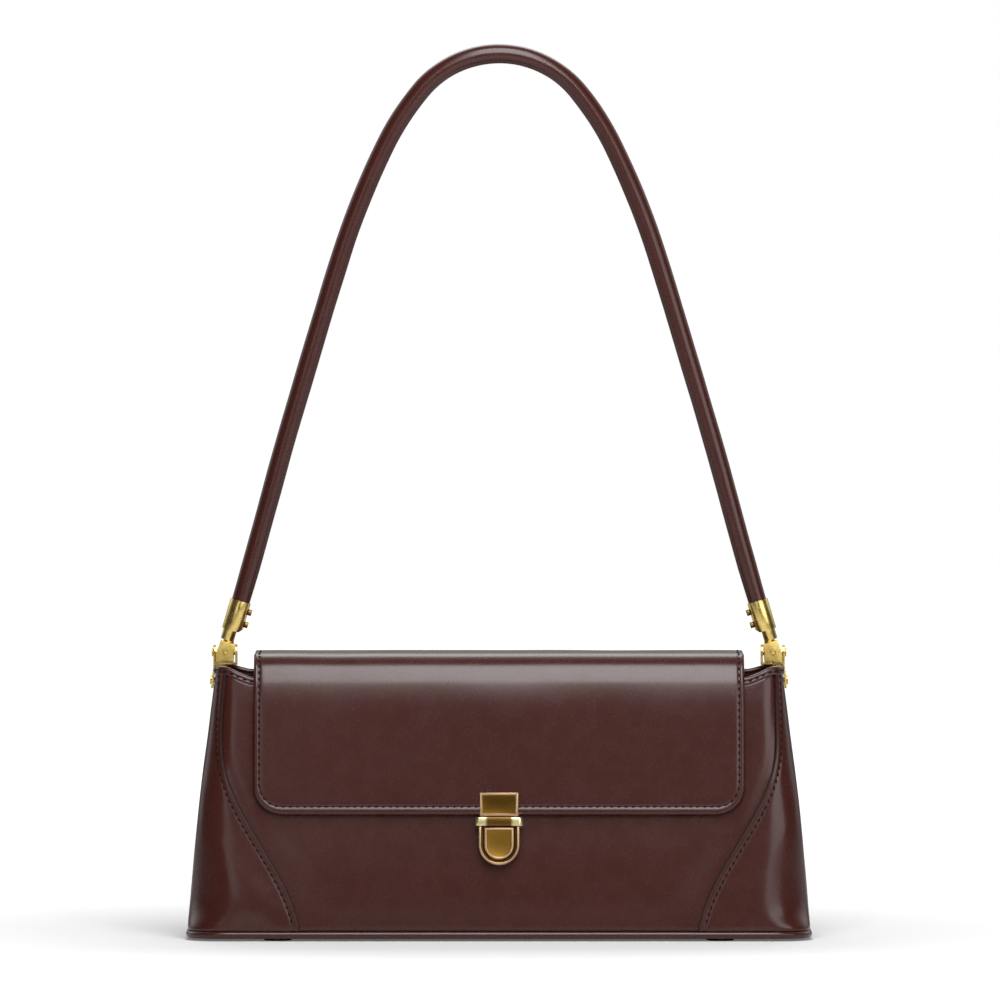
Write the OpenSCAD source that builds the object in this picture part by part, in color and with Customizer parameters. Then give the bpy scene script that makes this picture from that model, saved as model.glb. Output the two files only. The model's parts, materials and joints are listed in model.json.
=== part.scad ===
// Small flap bag with a rolled shoulder handle, millimetres, +Z up.
// The origin is on the table below the middle of the bag. +X points to the viewer's right
// and the front of the bag faces -Y.

/* [Bag body] */
// Width across the foot of the bag
foot_w = 262.6; // [220:0.2:320]
// Depth across the foot of the bag, front to back
foot_d = 72; // [64:0.5:90]
// Width across the top corners
mouth_w = 238.6; // [200:0.2:300]
// Depth at the top corners, front to back
mouth_d = 46; // [40:0.5:56]
// Height of the top corners above the table
corner_h = 115; // [105:0.5:140]
// How far the front and back edges dip below the top corners
dip_h = 4.5; // [2:0.1:6]
// Distance from a top corner to where its edge starts to dip
dip_in = 3.3; // [2:0.1:5]
// Length over which the edge dips
dip_run = 12; // [8:0.5:14]
// Radius of the upright corners at the foot
foot_corner_r = 14; // [8:0.5:22]
// Radius of the upright corners at the mouth
mouth_corner_r = 9; // [6:0.5:12]

/* [Leather and lining] */
// Thickness of the end panels' leather
gusset_t = 1.2; // [0.8:0.1:1.6]
// Thickness of the front and back panels' leather
panel_t = 1.2; // [0.8:0.1:1.6]
// Thickness of the lining
lining_t = 0.6; // [0.4:0.1:1]
// How far the front and back panels run under the end panels
lap = 8; // [5:0.5:12]
// Height of the folded binding along the mouth
binding_h = 3.6; // [2.5:0.1:5]
// Distance from the foot's side in to the end panel's seam
seam_foot_in = 48.5; // [36:0.5:60]
// Distance from the top corner in to the end panel's seam
seam_top_in = 2.8; // [2.8:0.1:4]
// How far below the table the seam's curve would level out
seam_below = 3; // [0:0.5:8]
// How far below the top corners the seam's curve has straightened
seam_top_drop = 31; // [20:1:45]

/* [Base] */
// Height of the feet
foot_h = 1; // [0.8:0.1:3]
// Radius of the feet
foot_r = 6; // [4:0.5:8]
// Distance from the bag's side to the feet
foot_in_x = 38.3; // [28:0.5:50]
// Distance from the bag's front or back to the feet
foot_in_y = 10; // [9:0.5:16]
// Radius of the rivet that holds each foot
foot_rivet_r = 1.5; // [1:0.1:2.5]
// Thickness of the base leather with its turned edge
base_t = 3; // [2:0.1:4]
// How far the base's turned edge stands out from the walls
welt_out = 0.45; // [0.4:0.05:1]
// Thickness of the board inside the base
board_t = 2; // [1.5:0.1:3]
// Gap between the board and the walls around it
board_fit = 0.6; // [0.4:0.1:1.5]

/* [Flap] */
// Distance from the bag's top corners in to the flap's sides
flap_in = 16; // [15:0.1:24]
// Height of the flap's top above the bag's top corners
flap_rise = 6; // [5:0.1:9]
// Height of the flap's lower edge, measured up the front
flap_low = 53; // [46:0.5:62]
// Radius of the flap's lower corners
flap_corner_r = 12.5; // [6:0.5:20]
// Radius of the fold at the front of the flap's top
flap_fold_r = 14; // [10:0.5:16]
// Thickness of the flap's outer leather
flap_leather_t = 1.4; // [1:0.1:1.8]
// Thickness of the flap's inner leather
flap_lining_t = 1.2; // [0.8:0.1:1.6]
// Gap between the flap and the front panel
flap_gap = 0.5; // [0.4:0.1:1]
// Outer radius of the fold at the rear, on which the flap turns
rear_fold_r = 3.5; // [3.2:0.1:4.5]
// Distance from the bag's back in to the rear fold's centre
rear_fold_in = 1.5; // [1:0.1:2.5]
// Running gap between the folded flap and the roll that it turns on
fold_fit = 0.3; // [0.2:0.05:0.5]
// How far the flap's sewn tail reaches down the back
tail_drop = 24; // [16:1:40]
// Angle of the rear fold that turns with the flap
rear_fold_turn = 60; // [40:5:70]

/* [Lock] */
// Width of the lock's case
case_w = 17; // [15:0.5:20]
// Height of the lock's case below the mouth band
case_h = 16.4; // [15:0.2:20]
// Depth of the lock's case with its rim
case_t = 4.9; // [4.7:0.1:5.5]
// Width of the case's raised rim
rim_w = 1; // [0.8:0.1:1.2]
// How deep the case is sunk inside its rim
rim_deep = 1.3; // [1:0.1:1.5]
// Thickness of the case's face
case_face_t = 0.8; // [0.6:0.1:1]
// Thickness of the case's side walls
case_wall = 1.2; // [1:0.1:1.4]
// Thickness of the plate behind the case
base_plate_t = 0.8; // [0.6:0.1:0.9]
// Width of the push button
button_w = 12.2; // [10:0.2:12.2]
// Height of the push button
button_h = 13.4; // [10:0.2:13.4]
// How far the button's face lies below the case's rim
button_set = 0.2; // [0:0.1:0.6]
// Width of the button's raised border
button_rim_w = 1; // [0.6:0.1:1.4]
// Height of the button's raised border
button_rim_t = 0.4; // [0.2:0.1:0.6]
// Clearance round the button in its window
button_fit = 0.25; // [0.15:0.05:0.4]
// Width of the button's flange beyond its face
flange_w = 0.8; // [0.6:0.1:1]
// Thickness of the button's flange
flange_t = 0.7; // [0.5:0.1:0.8]
// Gap between the button's flange and the case's face
flange_gap = 0.2; // [0.1:0.05:0.3]
// Width of the mouth band
band_w = 20; // [18:0.5:24]
// Height of the mouth band
band_h = 3.7; // [3:0.1:5]
// How far the mouth band stands out from the front panel
band_t = 5.9; // [5.8:0.1:7]
// Thickness of the mouth band's front wall
band_wall = 0.9; // [0.7:0.1:1]
// Radius of the mouth band's front edges
band_r = 1.8; // [1:0.1:2]
// Width of the tongue
tongue_w = 11; // [8:0.5:12]
// Thickness of the tongue
tongue_t = 1; // [0.8:0.1:1.1]
// How deep the tongue reaches into the mouth band
tongue_deep = 1.2; // [0.8:0.1:1.3]
// Gap between the flap's lock plate and the mouth band
plate_gap = 0.5; // [0.4:0.1:1]
// Width of the lock plate on the flap
flap_plate_w = 16; // [14:0.5:20]
// Height of the lock plate on the flap
flap_plate_h = 9.8; // [8:0.2:14]
// Thickness of the lock plate on the flap
flap_plate_t = 1; // [0.8:0.1:1.4]
// Thickness of the lip that passes under the flap's edge
lip_t = 0.55; // [0.4:0.05:0.8]
// Thickness of the small plate on the flap's inner side
back_plate_t = 1; // [0.6:0.1:1.1]
// Radius of the lock's rivets
lock_rivet_r = 0.9; // [0.7:0.1:1.1]
// Thickness of the washer plate inside the bag
washer_t = 0.9; // [0.6:0.1:1.2]

/* [Handle] */
// Height of the handle's crown above the table
handle_h = 376.6; // [340:0.5:420]
// Diameter of the rolled strap
strap_d = 7.6; // [6.6:0.1:8]
// Thickness of the strap's leather
strap_wall = 1.4; // [1:0.1:1.8]
// Radius of the strap between the crown and the arms
shoulder_r = 110; // [90:1:125]
// Radius of the strap's arms where they straighten
arm_r = 330; // [280:5:360]
// Diameter of the ferrules
ferrule_d = 8.8; // [8.8:0.1:9.6]
// Length of the ferrules' barrel
ferrule_len = 13; // [11:0.5:16]
// Clearance of the strap in its ferrule
ferrule_fit = 0.1; // [0.05:0.05:0.2]
// How far the strap reaches into its ferrule
strap_in = 10; // [8:0.5:10.5]
// Diameter of the neck below the ferrule's barrel
neck_d = 5.8; // [5:0.1:6]
// How far the neck is set towards the outside
neck_shift = 0.8; // [0.4:0.1:1.2]
// Length of the neck
neck_len = 4.4; // [3.5:0.1:6]
// Diameter of the groove under the neck
groove_d = 4.6; // [4:0.1:5]
// Height of the groove under the neck
groove_h = 0.8; // [0.5:0.1:1.2]
// Diameter of the stem that holds the ferrule in its knuckle
stem_d = 2.8; // [2:0.1:3]
// Length of that stem
stem_len = 2; // [1.5:0.1:2.2]
// Diameter of the ferrule's screw heads
screw_head_d = 2.6; // [2:0.1:3]
// Height of the ferrule's screw heads
screw_head_h = 1.5; // [0.8:0.1:2]
// Diameter of the ferrule's screws
screw_d = 1.4; // [1:0.1:1.8]
// How deep the ferrule's screws bite, from the barrel's surface
screw_len = 2.2; // [1.8:0.1:2.6]
// Distance from the ferrule's mouth to its first screw
screw_first = 3.7; // [3:0.1:4.5]
// Distance between the ferrule's two screws
screw_step = 5.4; // [4:0.1:5.5]

/* [Side clips] */
// Radius of the knuckle that turns in the clip
knuckle_r = 3.9; // [3.6:0.1:4.4]
// Width of the knuckle
knuckle_w = 6; // [5:0.1:6]
// Height of the knuckle above its pin
knuckle_top = 4.4; // [4.2:0.1:5]
// Half the distance between the clip's cheeks
cheek_gap = 4.1; // [4.1:0.05:4.6]
// Thickness of the clip's metal
clip_t = 0.95; // [0.8:0.05:1]
// Half the depth of the clip, front to back
clip_r = 3.6; // [3.2:0.1:3.7]
// Length of the clip's legs below the mouth's edge
clip_leg = 10; // [9:0.5:16]
// Clearance between the clip's legs and the wall between them
clip_fit = 0.3; // [0.2:0.05:0.5]
// Gap between the knuckle and the clip's floor
knuckle_gap = 0.4; // [0.3:0.05:0.6]
// Radius of the pivot pin
pin_r = 1.25; // [1:0.05:1.4]
// Running clearance round the pivot pin
pin_fit = 0.05; // [0.02:0.01:0.08]
// Radius of the pivot pin's head
pin_head_r = 1.9; // [1.6:0.1:2.2]
// Height of the pivot pin's head
pin_head_h = 0.6; // [0.4:0.1:0.8]
// Radius of the set screw that holds the pin
set_screw_r = 1.05; // [0.8:0.05:1.1]
// Radius of the clip's rivet
rivet_r = 1.05; // [0.8:0.05:1.3]
// Radius of the clip's rivet heads
rivet_head_r = 2; // [1.6:0.1:2.4]
// Height of the clip's rivet heads
rivet_head_h = 0.7; // [0.5:0.1:0.9]
// Distance from the mouth's edge down to the clip's rivet
rivet_drop = 6.5; // [6:0.1:7.5]

/* [Hidden] */
$fn = 64;

leather = "#4a2d29";
dark = "#23211f";
board = "#8d8375";
gold = "#c9a24b";
antique = "#7d6136";
steel = "#b9bbbd";

// Cuts run past the faces that they open by this much
over = 1;
// Steps round each upright corner and each fold
corner_steps = 8;
// Fit of a fixed rivet or stem in its hole
hole_fit = 0.05;
// Gap left under the heads of pins that turn
head_gap = 0.15;
// Thickness of the lock's rivet heads, and their radius as a share of the rivet's
rivet_head_t = 0.7;
head_share = 5 / 3;
// How far plates inside the lock lie in from its outline
plate_in = 1;
// Where the flap's tail meets its roll, round from the front and back
roll_turn = 60;

// Levels
wall_low = foot_h + base_t;
board_top = wall_low + board_t;
wall_t = gusset_t + panel_t + lining_t;
wall_span = corner_h - wall_low;
level_x = mouth_w / 2 - dip_in - dip_run;
mouth_h = corner_h - dip_h;

// How the walls lean: sideways and front to back, per unit of height
side_slope = (foot_w - mouth_w) / 2 / wall_span;
face_slope = (foot_d - mouth_d) / 2 / wall_span;
side_lean = atan(side_slope);
face_lean = atan(face_slope);

function half_w(z) = foot_w / 2 - side_slope * (z - wall_low);
function half_d(z) = foot_d / 2 - face_slope * (z - wall_low);
function corner_r(z) =
    foot_corner_r + (mouth_corner_r - foot_corner_r) * (z - wall_low) / wall_span;

// The body's outline at height z, drawn in by inset
function ring(inset, z) = [
    for (q = [0:3])
        for (k = [0:corner_steps])
            let (
                a = 90 * q + 90 * k / corner_steps,
                sx = (q == 0 || q == 3) ? 1 : -1,
                sy = (q < 2) ? 1 : -1,
                r = corner_r(z) - inset
            )
            [
                sx * (half_w(z) - inset - r) + r * cos(a),
                sy * (half_d(z) - inset - r) + r * sin(a),
                z
            ]
];

// A leaning block with the body's outline, drawn in by inset, from the height low up
module form(inset, low) {
    n = 4 * (corner_steps + 1);
    intersection() {
        polyhedron(
            points = concat(ring(inset, 0), ring(inset, corner_h + over)),
            faces = concat(
                [[for (k = [0:n - 1]) k]],
                [[for (k = [0:n - 1]) 2 * n - 1 - k]],
                [for (k = [0:n - 1]) [k, n + k, (k + 1) % n]],
                [for (k = [0:n - 1]) [(k + 1) % n, n + k, n + (k + 1) % n]]
            )
        );
        translate([-foot_w, -foot_d, low])
            cube([2 * foot_w, 2 * foot_d, corner_h + 2 * over]);
    }
}

// The wall between two insets
module wall(outer, inner) {
    difference() {
        form(outer, wall_low);
        form(inner, 0);
    }
}

// A prism through the bag from front to back, drawn on the XZ plane
module through_y(points) {
    rotate([90, 0, 0])
        linear_extrude(height = 2 * foot_d, center = true)
            polygon(points);
}

// Everything below the mouth's edge, less a drop
module below_mouth(drop) {
    through_y([
        [-foot_w, -over], [foot_w, -over],
        [foot_w, corner_h - drop], [level_x + dip_run, corner_h - drop],
        [level_x, mouth_h - drop], [-level_x, mouth_h - drop],
        [-level_x - dip_run, corner_h - drop], [-foot_w, corner_h - drop]
    ]);
}

// The end panel's seam: how far out it lies at height z
seam_foot_x = foot_w / 2 - seam_foot_in;
seam_top_x = mouth_w / 2 - seam_top_in;
seam_straight_z = corner_h - seam_top_drop;
seam_steps = 24;
function seam_share(z) =
    min(1, max(0, (z + seam_below) / (seam_straight_z + seam_below)));
function seam_x(z) =
    seam_foot_x + (seam_top_x - seam_foot_x) * (1 - cos(180 * seam_share(z))) / 2;
// The hidden edge of the front and back panels under the end panels
function panel_x(z) = min(seam_x(z) + lap, half_w(z) - gusset_t - panel_t * 5 / 4);

seam_z = [for (k = [0:seam_steps]) (corner_h + over) * k / seam_steps];

// Outside the seam on the right
module outside_seam() {
    through_y(concat(
        [for (z = seam_z) [seam_x(z), z]],
        [[foot_w, corner_h + over], [foot_w, 0]]
    ));
}

// Between the two seams of a front or back
module between_seams() {
    through_y(concat(
        [for (z = seam_z) [seam_x(z), z]],
        backwards([for (z = seam_z) [-seam_x(z), z]])
    ));
}

// Outside the panels' hidden edge on the right
module outside_panel() {
    through_y(concat(
        [for (z = seam_z) [panel_x(z), z]],
        [[foot_w, corner_h + over], [foot_w, 0]]
    ));
}

// The right side's piece, or its mirror image on the left
module on_side(side) {
    mirror([side > 0 ? 0 : 1, 0, 0])
        children();
}

// The front or back half, by the sign of side
module half_space(side) {
    translate([-foot_w, side > 0 ? 0 : -foot_d, -over])
        cube([2 * foot_w, foot_d, corner_h + 4 * over]);
}

// The front panel's face: X stays, Y runs up the panel and Z points out of it
face_y = half_d(0) - gusset_t;
module on_front() {
    translate([0, -face_y, 0])
        rotate([90 - face_lean, 0, 0])
            children();
}
// Depth of the wall's inner side below that face
wall_back = (panel_t + lining_t) * cos(face_lean);

// The clip's rivet runs square to the leaning end wall
module at_clip_rivet() {
    translate([half_w(corner_h), 0, corner_h])
        rotate([0, -side_lean, 0])
            translate([0, 0, -rivet_drop])
                rotate([0, 90, 0])
                    children();
}
module clip_rivet_hole() {
    at_clip_rivet()
        translate([0, 0, -2 * wall_t])
            cylinder(r = rivet_r + hole_fit, h = 4 * wall_t);
}

// Lock places, measured up the front panel
band_top = flap_low - lip_t - plate_gap;
band_low = band_top - band_h;
button_high = band_low - rim_w * 2 / 3;
base_rivet_low = band_low - case_h + case_w / 3;
base_rivet_high = band_low - case_wall - 2 * lock_rivet_r;
base_rivets = [base_rivet_low, base_rivet_high];
module base_rivet_holes() {
    on_front()
        for (v = base_rivets)
            translate([0, v, -foot_d / 8])
                cylinder(r = lock_rivet_r + hole_fit, h = foot_d / 4);
}

module panel(side) {
    difference() {
        intersection() {
            wall(gusset_t, gusset_t + panel_t);
            half_space(side);
            below_mouth(binding_h);
        }
        outside_panel();
        mirror([1, 0, 0]) outside_panel();
    }
}

module front_panel() {
    color(leather)
        difference() {
            panel(-1);
            base_rivet_holes();
        }
}

module back_panel() {
    color(leather) panel(1);
}

module gusset(side) {
    color(leather)
        difference() {
            intersection() {
                wall(0, gusset_t);
                on_side(side) outside_seam();
                below_mouth(binding_h);
            }
            on_side(side) clip_rivet_hole();
        }
}

module gusset_board(side) {
    color(board)
        difference() {
            intersection() {
                wall(gusset_t, gusset_t + panel_t);
                on_side(side) outside_panel();
                below_mouth(binding_h);
            }
            on_side(side) clip_rivet_hole();
        }
}

foot_x = foot_w / 2 - foot_in_x;
foot_y = foot_d / 2 - foot_in_y;
module at_feet() {
    for (sx = [-1, 1])
        for (sy = [-1, 1])
            translate([sx * foot_x, sy * foot_y, 0])
                children();
}
module foot_rivet_holes() {
    at_feet()
        cylinder(r = foot_rivet_r + hole_fit, h = board_top + over);
}

module base_panel() {
    color(leather)
        difference() {
            translate([0, 0, foot_h])
                linear_extrude(height = base_t)
                    polygon([for (p = ring(-welt_out, wall_low)) [p[0], p[1]]]);
            foot_rivet_holes();
        }
}

module base_board() {
    color(board)
        difference() {
            translate([0, 0, wall_low])
                linear_extrude(height = board_t)
                    polygon([
                        for (p = ring(gusset_t + panel_t + board_fit, board_top)) [p[0], p[1]]
                    ]);
            foot_rivet_holes();
        }
}

module base_feet() {
    color(antique)
        at_feet() {
            cylinder(r1 = foot_r - foot_h / 2, r2 = foot_r, h = foot_h / 2);
            translate([0, 0, foot_h / 2])
                cylinder(r = foot_r, h = foot_h / 2);
            cylinder(r = foot_rivet_r, h = board_top);
        }
}

module mouth_binding() {
    color(leather)
        difference() {
            intersection() {
                wall(0, wall_t);
                below_mouth(0);
            }
            below_mouth(binding_h);
            difference() {
                between_seams();
                form(gusset_t, 0);
            }
        }
}

module lining() {
    color(dark)
        difference() {
            intersection() {
                form(gusset_t + panel_t, board_top);
                below_mouth(binding_h);
            }
            form(wall_t, board_top + lining_t);
            clip_rivet_hole();
            mirror([1, 0, 0]) clip_rivet_hole();
            base_rivet_holes();
        }
}

// Flap: its section on the YZ plane is a path from the rear fold to the lower edge
flap_w = mouth_w - 2 * flap_in;
flap_top = corner_h + flap_rise;
hinge_y = mouth_d / 2 - rear_fold_in;
hinge_z = flap_top - rear_fold_r;
roll_r = rear_fold_r - flap_leather_t - fold_fit;
flap_out = flap_gap + flap_lining_t + flap_leather_t;
// A place on the front panel's frame: y and z of the point v up and w out
function front_y(v, w) = -face_y + v * sin(face_lean) - w * cos(face_lean);
function front_z(v, w) = v * cos(face_lean) + w * sin(face_lean);
fold_w = flap_out - flap_fold_r;
fold_z = flap_top - flap_fold_r;
fold_v = (fold_z - fold_w * sin(face_lean)) / cos(face_lean);
fold_y = front_y(fold_v, fold_w);

function arc(y, z, r, from, to) = [
    for (k = [0:corner_steps])
        let (a = from + (to - from) * k / corner_steps)
        [y + r * cos(a), z + r * sin(a)]
];
function flap_path(depth, from) = concat(
    from < 90 ? arc(hinge_y, hinge_z, rear_fold_r - depth, from, 90)
        : [[hinge_y - rear_fold_r, flap_top - depth]],
    arc(fold_y, fold_z, flap_fold_r - depth, 90, 180 - face_lean),
    [[front_y(0, flap_out - depth), front_z(0, flap_out - depth)]]
);
function backwards(points) = [for (k = [len(points) - 1:-1:0]) points[k]];

module flap_layer(outer, inner, from) {
    intersection() {
        rotate([90, 0, 90])
            linear_extrude(height = flap_w, center = true)
                polygon(concat(flap_path(outer, from), backwards(flap_path(inner, from))));
        on_front()
            translate([0, 0, -foot_d])
                linear_extrude(height = 2 * foot_d)
                    flap_outline();
    }
}

module flap_outline() {
    for (side = [-1, 1])
        translate([side * (flap_w / 2 - flap_corner_r), flap_low + flap_corner_r])
            circle(r = flap_corner_r);
    translate([-flap_w / 2 + flap_corner_r, flap_low])
        square([flap_w - 2 * flap_corner_r, corner_h]);
    translate([-flap_w / 2, flap_low + flap_corner_r])
        square([flap_w, corner_h]);
}

// Flap plate places
plate_mid = flap_low - lip_t + flap_plate_h / 2;
flap_rivet_x = flap_plate_w / 4;
leather_back = flap_gap + flap_lining_t;
module flap_rivet_holes() {
    on_front()
        for (side = [-1, 1])
            translate([side * flap_rivet_x, plate_mid, 0])
                cylinder(r = lock_rivet_r + hole_fit, h = flap_out + flap_plate_t / 2 + hole_fit);
}

module flap_leather() {
    color(leather)
        difference() {
            flap_layer(0, flap_leather_t, 90 - rear_fold_turn);
            flap_rivet_holes();
        }
}

// Gap round the small plate in the flap's inner leather
plate_fit = 0.3;
module back_plate_shape(grow) {
    translate([
        -flap_plate_w / 2 + plate_in - grow,
        plate_mid - flap_plate_h / 2 + 2 * plate_in - grow
    ])
        square([
            flap_plate_w - 2 * plate_in + 2 * grow,
            flap_plate_h - 3 * plate_in + 2 * grow
        ]);
}

module flap_lining() {
    color(leather)
        difference() {
            flap_layer(flap_leather_t, flap_leather_t + flap_lining_t, 90);
            on_front()
                linear_extrude(height = leather_back)
                    back_plate_shape(plate_fit);
        }
}

module flap_tail() {
    tail_y = half_d(mouth_h) - gusset_t;
    tail_out = flap_leather_t;
    low_z = mouth_h - tail_drop;
    low_y = half_d(low_z) - gusset_t;
    color(leather)
        rotate([90, 0, 90])
            linear_extrude(height = flap_w, center = true) {
                translate([hinge_y, hinge_z])
                    circle(r = roll_r);
                polygon([
                    [low_y, low_z], [low_y + tail_out, low_z],
                    [tail_y + tail_out, mouth_h],
                    [hinge_y + roll_r * cos(roll_turn), hinge_z - roll_r * sin(roll_turn)],
                    [hinge_y - roll_r * cos(roll_turn), hinge_z - roll_r * sin(roll_turn)],
                    [tail_y, mouth_h]
                ]);
            }
}

module lock_flap_plate() {
    color(antique)
        difference() {
            on_front() {
                translate([0, plate_mid, flap_out]) {
                    translate([-flap_plate_w / 2, -flap_plate_h / 2, 0])
                        cube([flap_plate_w, flap_plate_h, flap_plate_t]);
                    linear_extrude(height = flap_plate_t + button_rim_t)
                        difference() {
                            square([flap_plate_w, flap_plate_h], center = true);
                            square(
                                [flap_plate_w - 2 * button_rim_w, flap_plate_h - 2 * button_rim_w],
                                center = true
                            );
                        }
                }
                translate([-tongue_w / 2, flap_low - lip_t, tongue_w_low])
                    cube([tongue_w, lip_t - hole_fit, flap_out + flap_plate_t - tongue_w_low]);
                translate([-tongue_w / 2, band_top - tongue_deep, tongue_w_low])
                    cube([tongue_w, flap_low - hole_fit - band_top + tongue_deep, tongue_t]);
            }
            flap_rivet_holes();
        }
}
// The tongue's back face, out from the front panel
tongue_w_low = flap_gap + flap_lining_t - hole_fit * 2;

module lock_flap_backplate() {
    color(steel)
        difference() {
            on_front()
                translate([0, 0, leather_back - back_plate_t])
                    linear_extrude(height = back_plate_t)
                        back_plate_shape(0);
            flap_rivet_holes();
        }
}

module lock_flap_rivets() {
    head = leather_back - back_plate_t - flap_gap / 2;
    color(steel)
        on_front()
            for (side = [-1, 1])
                translate([side * flap_rivet_x, plate_mid, 0]) {
                    translate([0, 0, leather_back - back_plate_t])
                        cylinder(
                            r = lock_rivet_r,
                            h = flap_out + flap_plate_t / 2 - leather_back + back_plate_t
                        );
                    translate([0, 0, flap_gap / 2])
                        cylinder(r = lock_rivet_r * head_share, h = head);
                }
}

// A plate with a straight top at the origin and a round lower end
module tongue_shape(w, h) {
    translate([-w / 2, w / 2 - h])
        square([w, h - w / 2]);
    intersection() {
        translate([0, w / 2 - h])
            circle(d = w);
        translate([-w / 2, -h])
            square([w, h]);
    }
}

module lock_base_plate() {
    color(steel)
        difference() {
            on_front()
                translate([0, band_low, 0])
                    linear_extrude(height = base_plate_t)
                        tongue_shape(case_w, case_h);
            base_rivet_holes();
        }
}

case_floor = case_t - rim_deep;
tab_w = tongue_w * 2 / 3;
module lock_case() {
    color(antique)
        on_front()
            translate([0, band_low, 0])
                difference() {
                    translate([0, 0, base_plate_t])
                        linear_extrude(height = case_t - base_plate_t)
                            tongue_shape(case_w, case_h);
                    translate([0, over, case_floor])
                        linear_extrude(height = rim_deep + over)
                            tongue_shape(case_w - 2 * rim_w, case_h - rim_w + over);
                    linear_extrude(height = case_t + over)
                        translate([0, button_high - band_low + button_fit])
                            tongue_shape(
                                button_w + 2 * button_fit, button_h + 2 * button_fit
                            );
                    translate([0, -case_wall, 0])
                        linear_extrude(height = case_floor - case_face_t)
                            tongue_shape(case_w - 2 * case_wall, case_h - 2 * case_wall);
                    translate([-tab_w / 2 - button_fit, -2 * case_wall, 0])
                        cube([tab_w + 2 * button_fit, 3 * case_wall, case_floor - case_face_t]);
                }
}

module lock_mouth_band() {
    pocket_x = tongue_w / 2 + 3 * button_fit;
    color(gold)
        on_front()
            translate([0, band_low, 0])
                rotate([-90, 0, 0])
                    mirror([0, 1, 0])
                        linear_extrude(height = band_h)
                            difference() {
                                union() {
                                    for (side = [-1, 1])
                                        translate([side * (band_w / 2 - band_r), band_t - band_r])
                                            circle(r = band_r);
                                    translate([-band_w / 2, 0])
                                        square([band_w, band_t - band_r]);
                                    translate([-band_w / 2 + band_r, 0])
                                        square([band_w - 2 * band_r, band_t]);
                                }
                                translate([-pocket_x, base_plate_t])
                                    square([2 * pocket_x, band_t - band_wall - base_plate_t]);
                            }
}

module lock_base_rivets() {
    low = -wall_back - washer_t - rivet_head_t;
    color(steel)
        on_front()
            for (v = base_rivets)
                translate([0, v, 0]) {
                    translate([0, 0, low])
                        cylinder(r = lock_rivet_r, h = base_plate_t - low);
                    translate([0, 0, low])
                        cylinder(r = lock_rivet_r * head_share, h = rivet_head_t);
                }
}

module lock_washer() {
    color(steel)
        difference() {
            on_front()
                translate([-case_w / 2, band_low - case_h + plate_in, -wall_back - washer_t])
                    cube([case_w, case_h - plate_in, washer_t]);
            base_rivet_holes();
        }
}

flange_high = case_floor - case_face_t - flange_gap;
flange_low = flange_high - flange_t;
module lock_button() {
    color(antique)
        on_front()
            translate([0, button_high, 0]) {
                translate([0, 0, flange_high])
                    linear_extrude(height = case_t - button_set - button_rim_t - flange_high)
                        tongue_shape(button_w, button_h);
                translate([0, 0, flange_high])
                    linear_extrude(height = case_t - button_set - flange_high)
                        difference() {
                            tongue_shape(button_w, button_h);
                            translate([0, -button_rim_w])
                                tongue_shape(
                                    button_w - 2 * button_rim_w, button_h - 2 * button_rim_w
                                );
                        }
                translate([0, 0, flange_low])
                    linear_extrude(height = flange_t)
                        translate([0, -flange_w])
                            tongue_shape(button_w + 2 * flange_w, button_h);
                translate([-tab_w / 2, -2 * flange_w, flange_low])
                    cube([tab_w, tab_top - button_high + 2 * flange_w, flange_t]);
            }
}
// The catch's tab ends this far below the tongue
tab_top = band_top - tongue_deep - plate_gap;

// A bowed leaf spring between the plate and the button
spring_t = 0.25;
spring_len = button_w * 3 / 4;
spring_rise = flange_low - base_plate_t;
spring_bow_r = (spring_len * spring_len / 4 + spring_rise * spring_rise) / (2 * spring_rise);
module lock_spring() {
    color(steel)
        on_front()
            translate([0, button_high - button_h / 2, base_plate_t])
                intersection() {
                    translate([0, 0, spring_rise - spring_bow_r])
                        rotate([90, 0, 0])
                            difference() {
                                cylinder(r = spring_bow_r, h = button_w / 4, center = true);
                                cylinder(r = spring_bow_r - spring_t, h = button_w, center = true);
                            }
                    translate([-spring_len / 2, -button_w, 0])
                        cube([spring_len, 2 * button_w, spring_rise + over]);
                }
}

// Handle: a crown arc, a shoulder arc, an arm arc and a straight leg to the pivot
crown_turn = 50;
shoulder_turn = 65;
arm_turn = 73.4;
leg_lean = 90 - arm_turn;
knuckle_lean = 11;
pivot_x = mouth_w / 2 + clip_fit - cheek_gap;
pivot_z = corner_h + clip_t + knuckle_gap + knuckle_r;
crown_z = handle_h - strap_d / 2;
// The crown's radius and the leg's length bring the arcs from the crown to the pivot
reach_x = pivot_x - shoulder_r * (sin(shoulder_turn) - sin(crown_turn))
    - arm_r * (sin(arm_turn) - sin(shoulder_turn));
reach_z = crown_z - pivot_z - shoulder_r * (cos(crown_turn) - cos(shoulder_turn))
    - arm_r * (cos(shoulder_turn) - cos(arm_turn));
reach_det = sin(crown_turn) * sin(arm_turn) - cos(arm_turn) * (1 - cos(crown_turn));
crown_r = (reach_x * sin(arm_turn) - cos(arm_turn) * reach_z) / reach_det;
leg_len = (sin(crown_turn) * reach_z - (1 - cos(crown_turn)) * reach_x) / reach_det;
// Levels along the leg, up from the pivot
neck_low = knuckle_top + groove_h;
barrel_low = neck_low + neck_len;
barrel_high = barrel_low + ferrule_len;
strap_end = barrel_high - strap_in;

module right_pivot() {
    translate([pivot_x, 0, pivot_z]) children();
}
module along_leg() {
    right_pivot() rotate([0, -leg_lean, 0]) children();
}
module both_sides() {
    children();
    mirror([1, 0, 0]) children();
}

shoulder_cx = (crown_r - shoulder_r) * sin(crown_turn);
shoulder_cz = crown_z - crown_r + (crown_r - shoulder_r) * cos(crown_turn);
arm_cx = shoulder_cx + (shoulder_r - arm_r) * sin(shoulder_turn);
arm_cz = shoulder_cz + (shoulder_r - arm_r) * cos(shoulder_turn);

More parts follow.
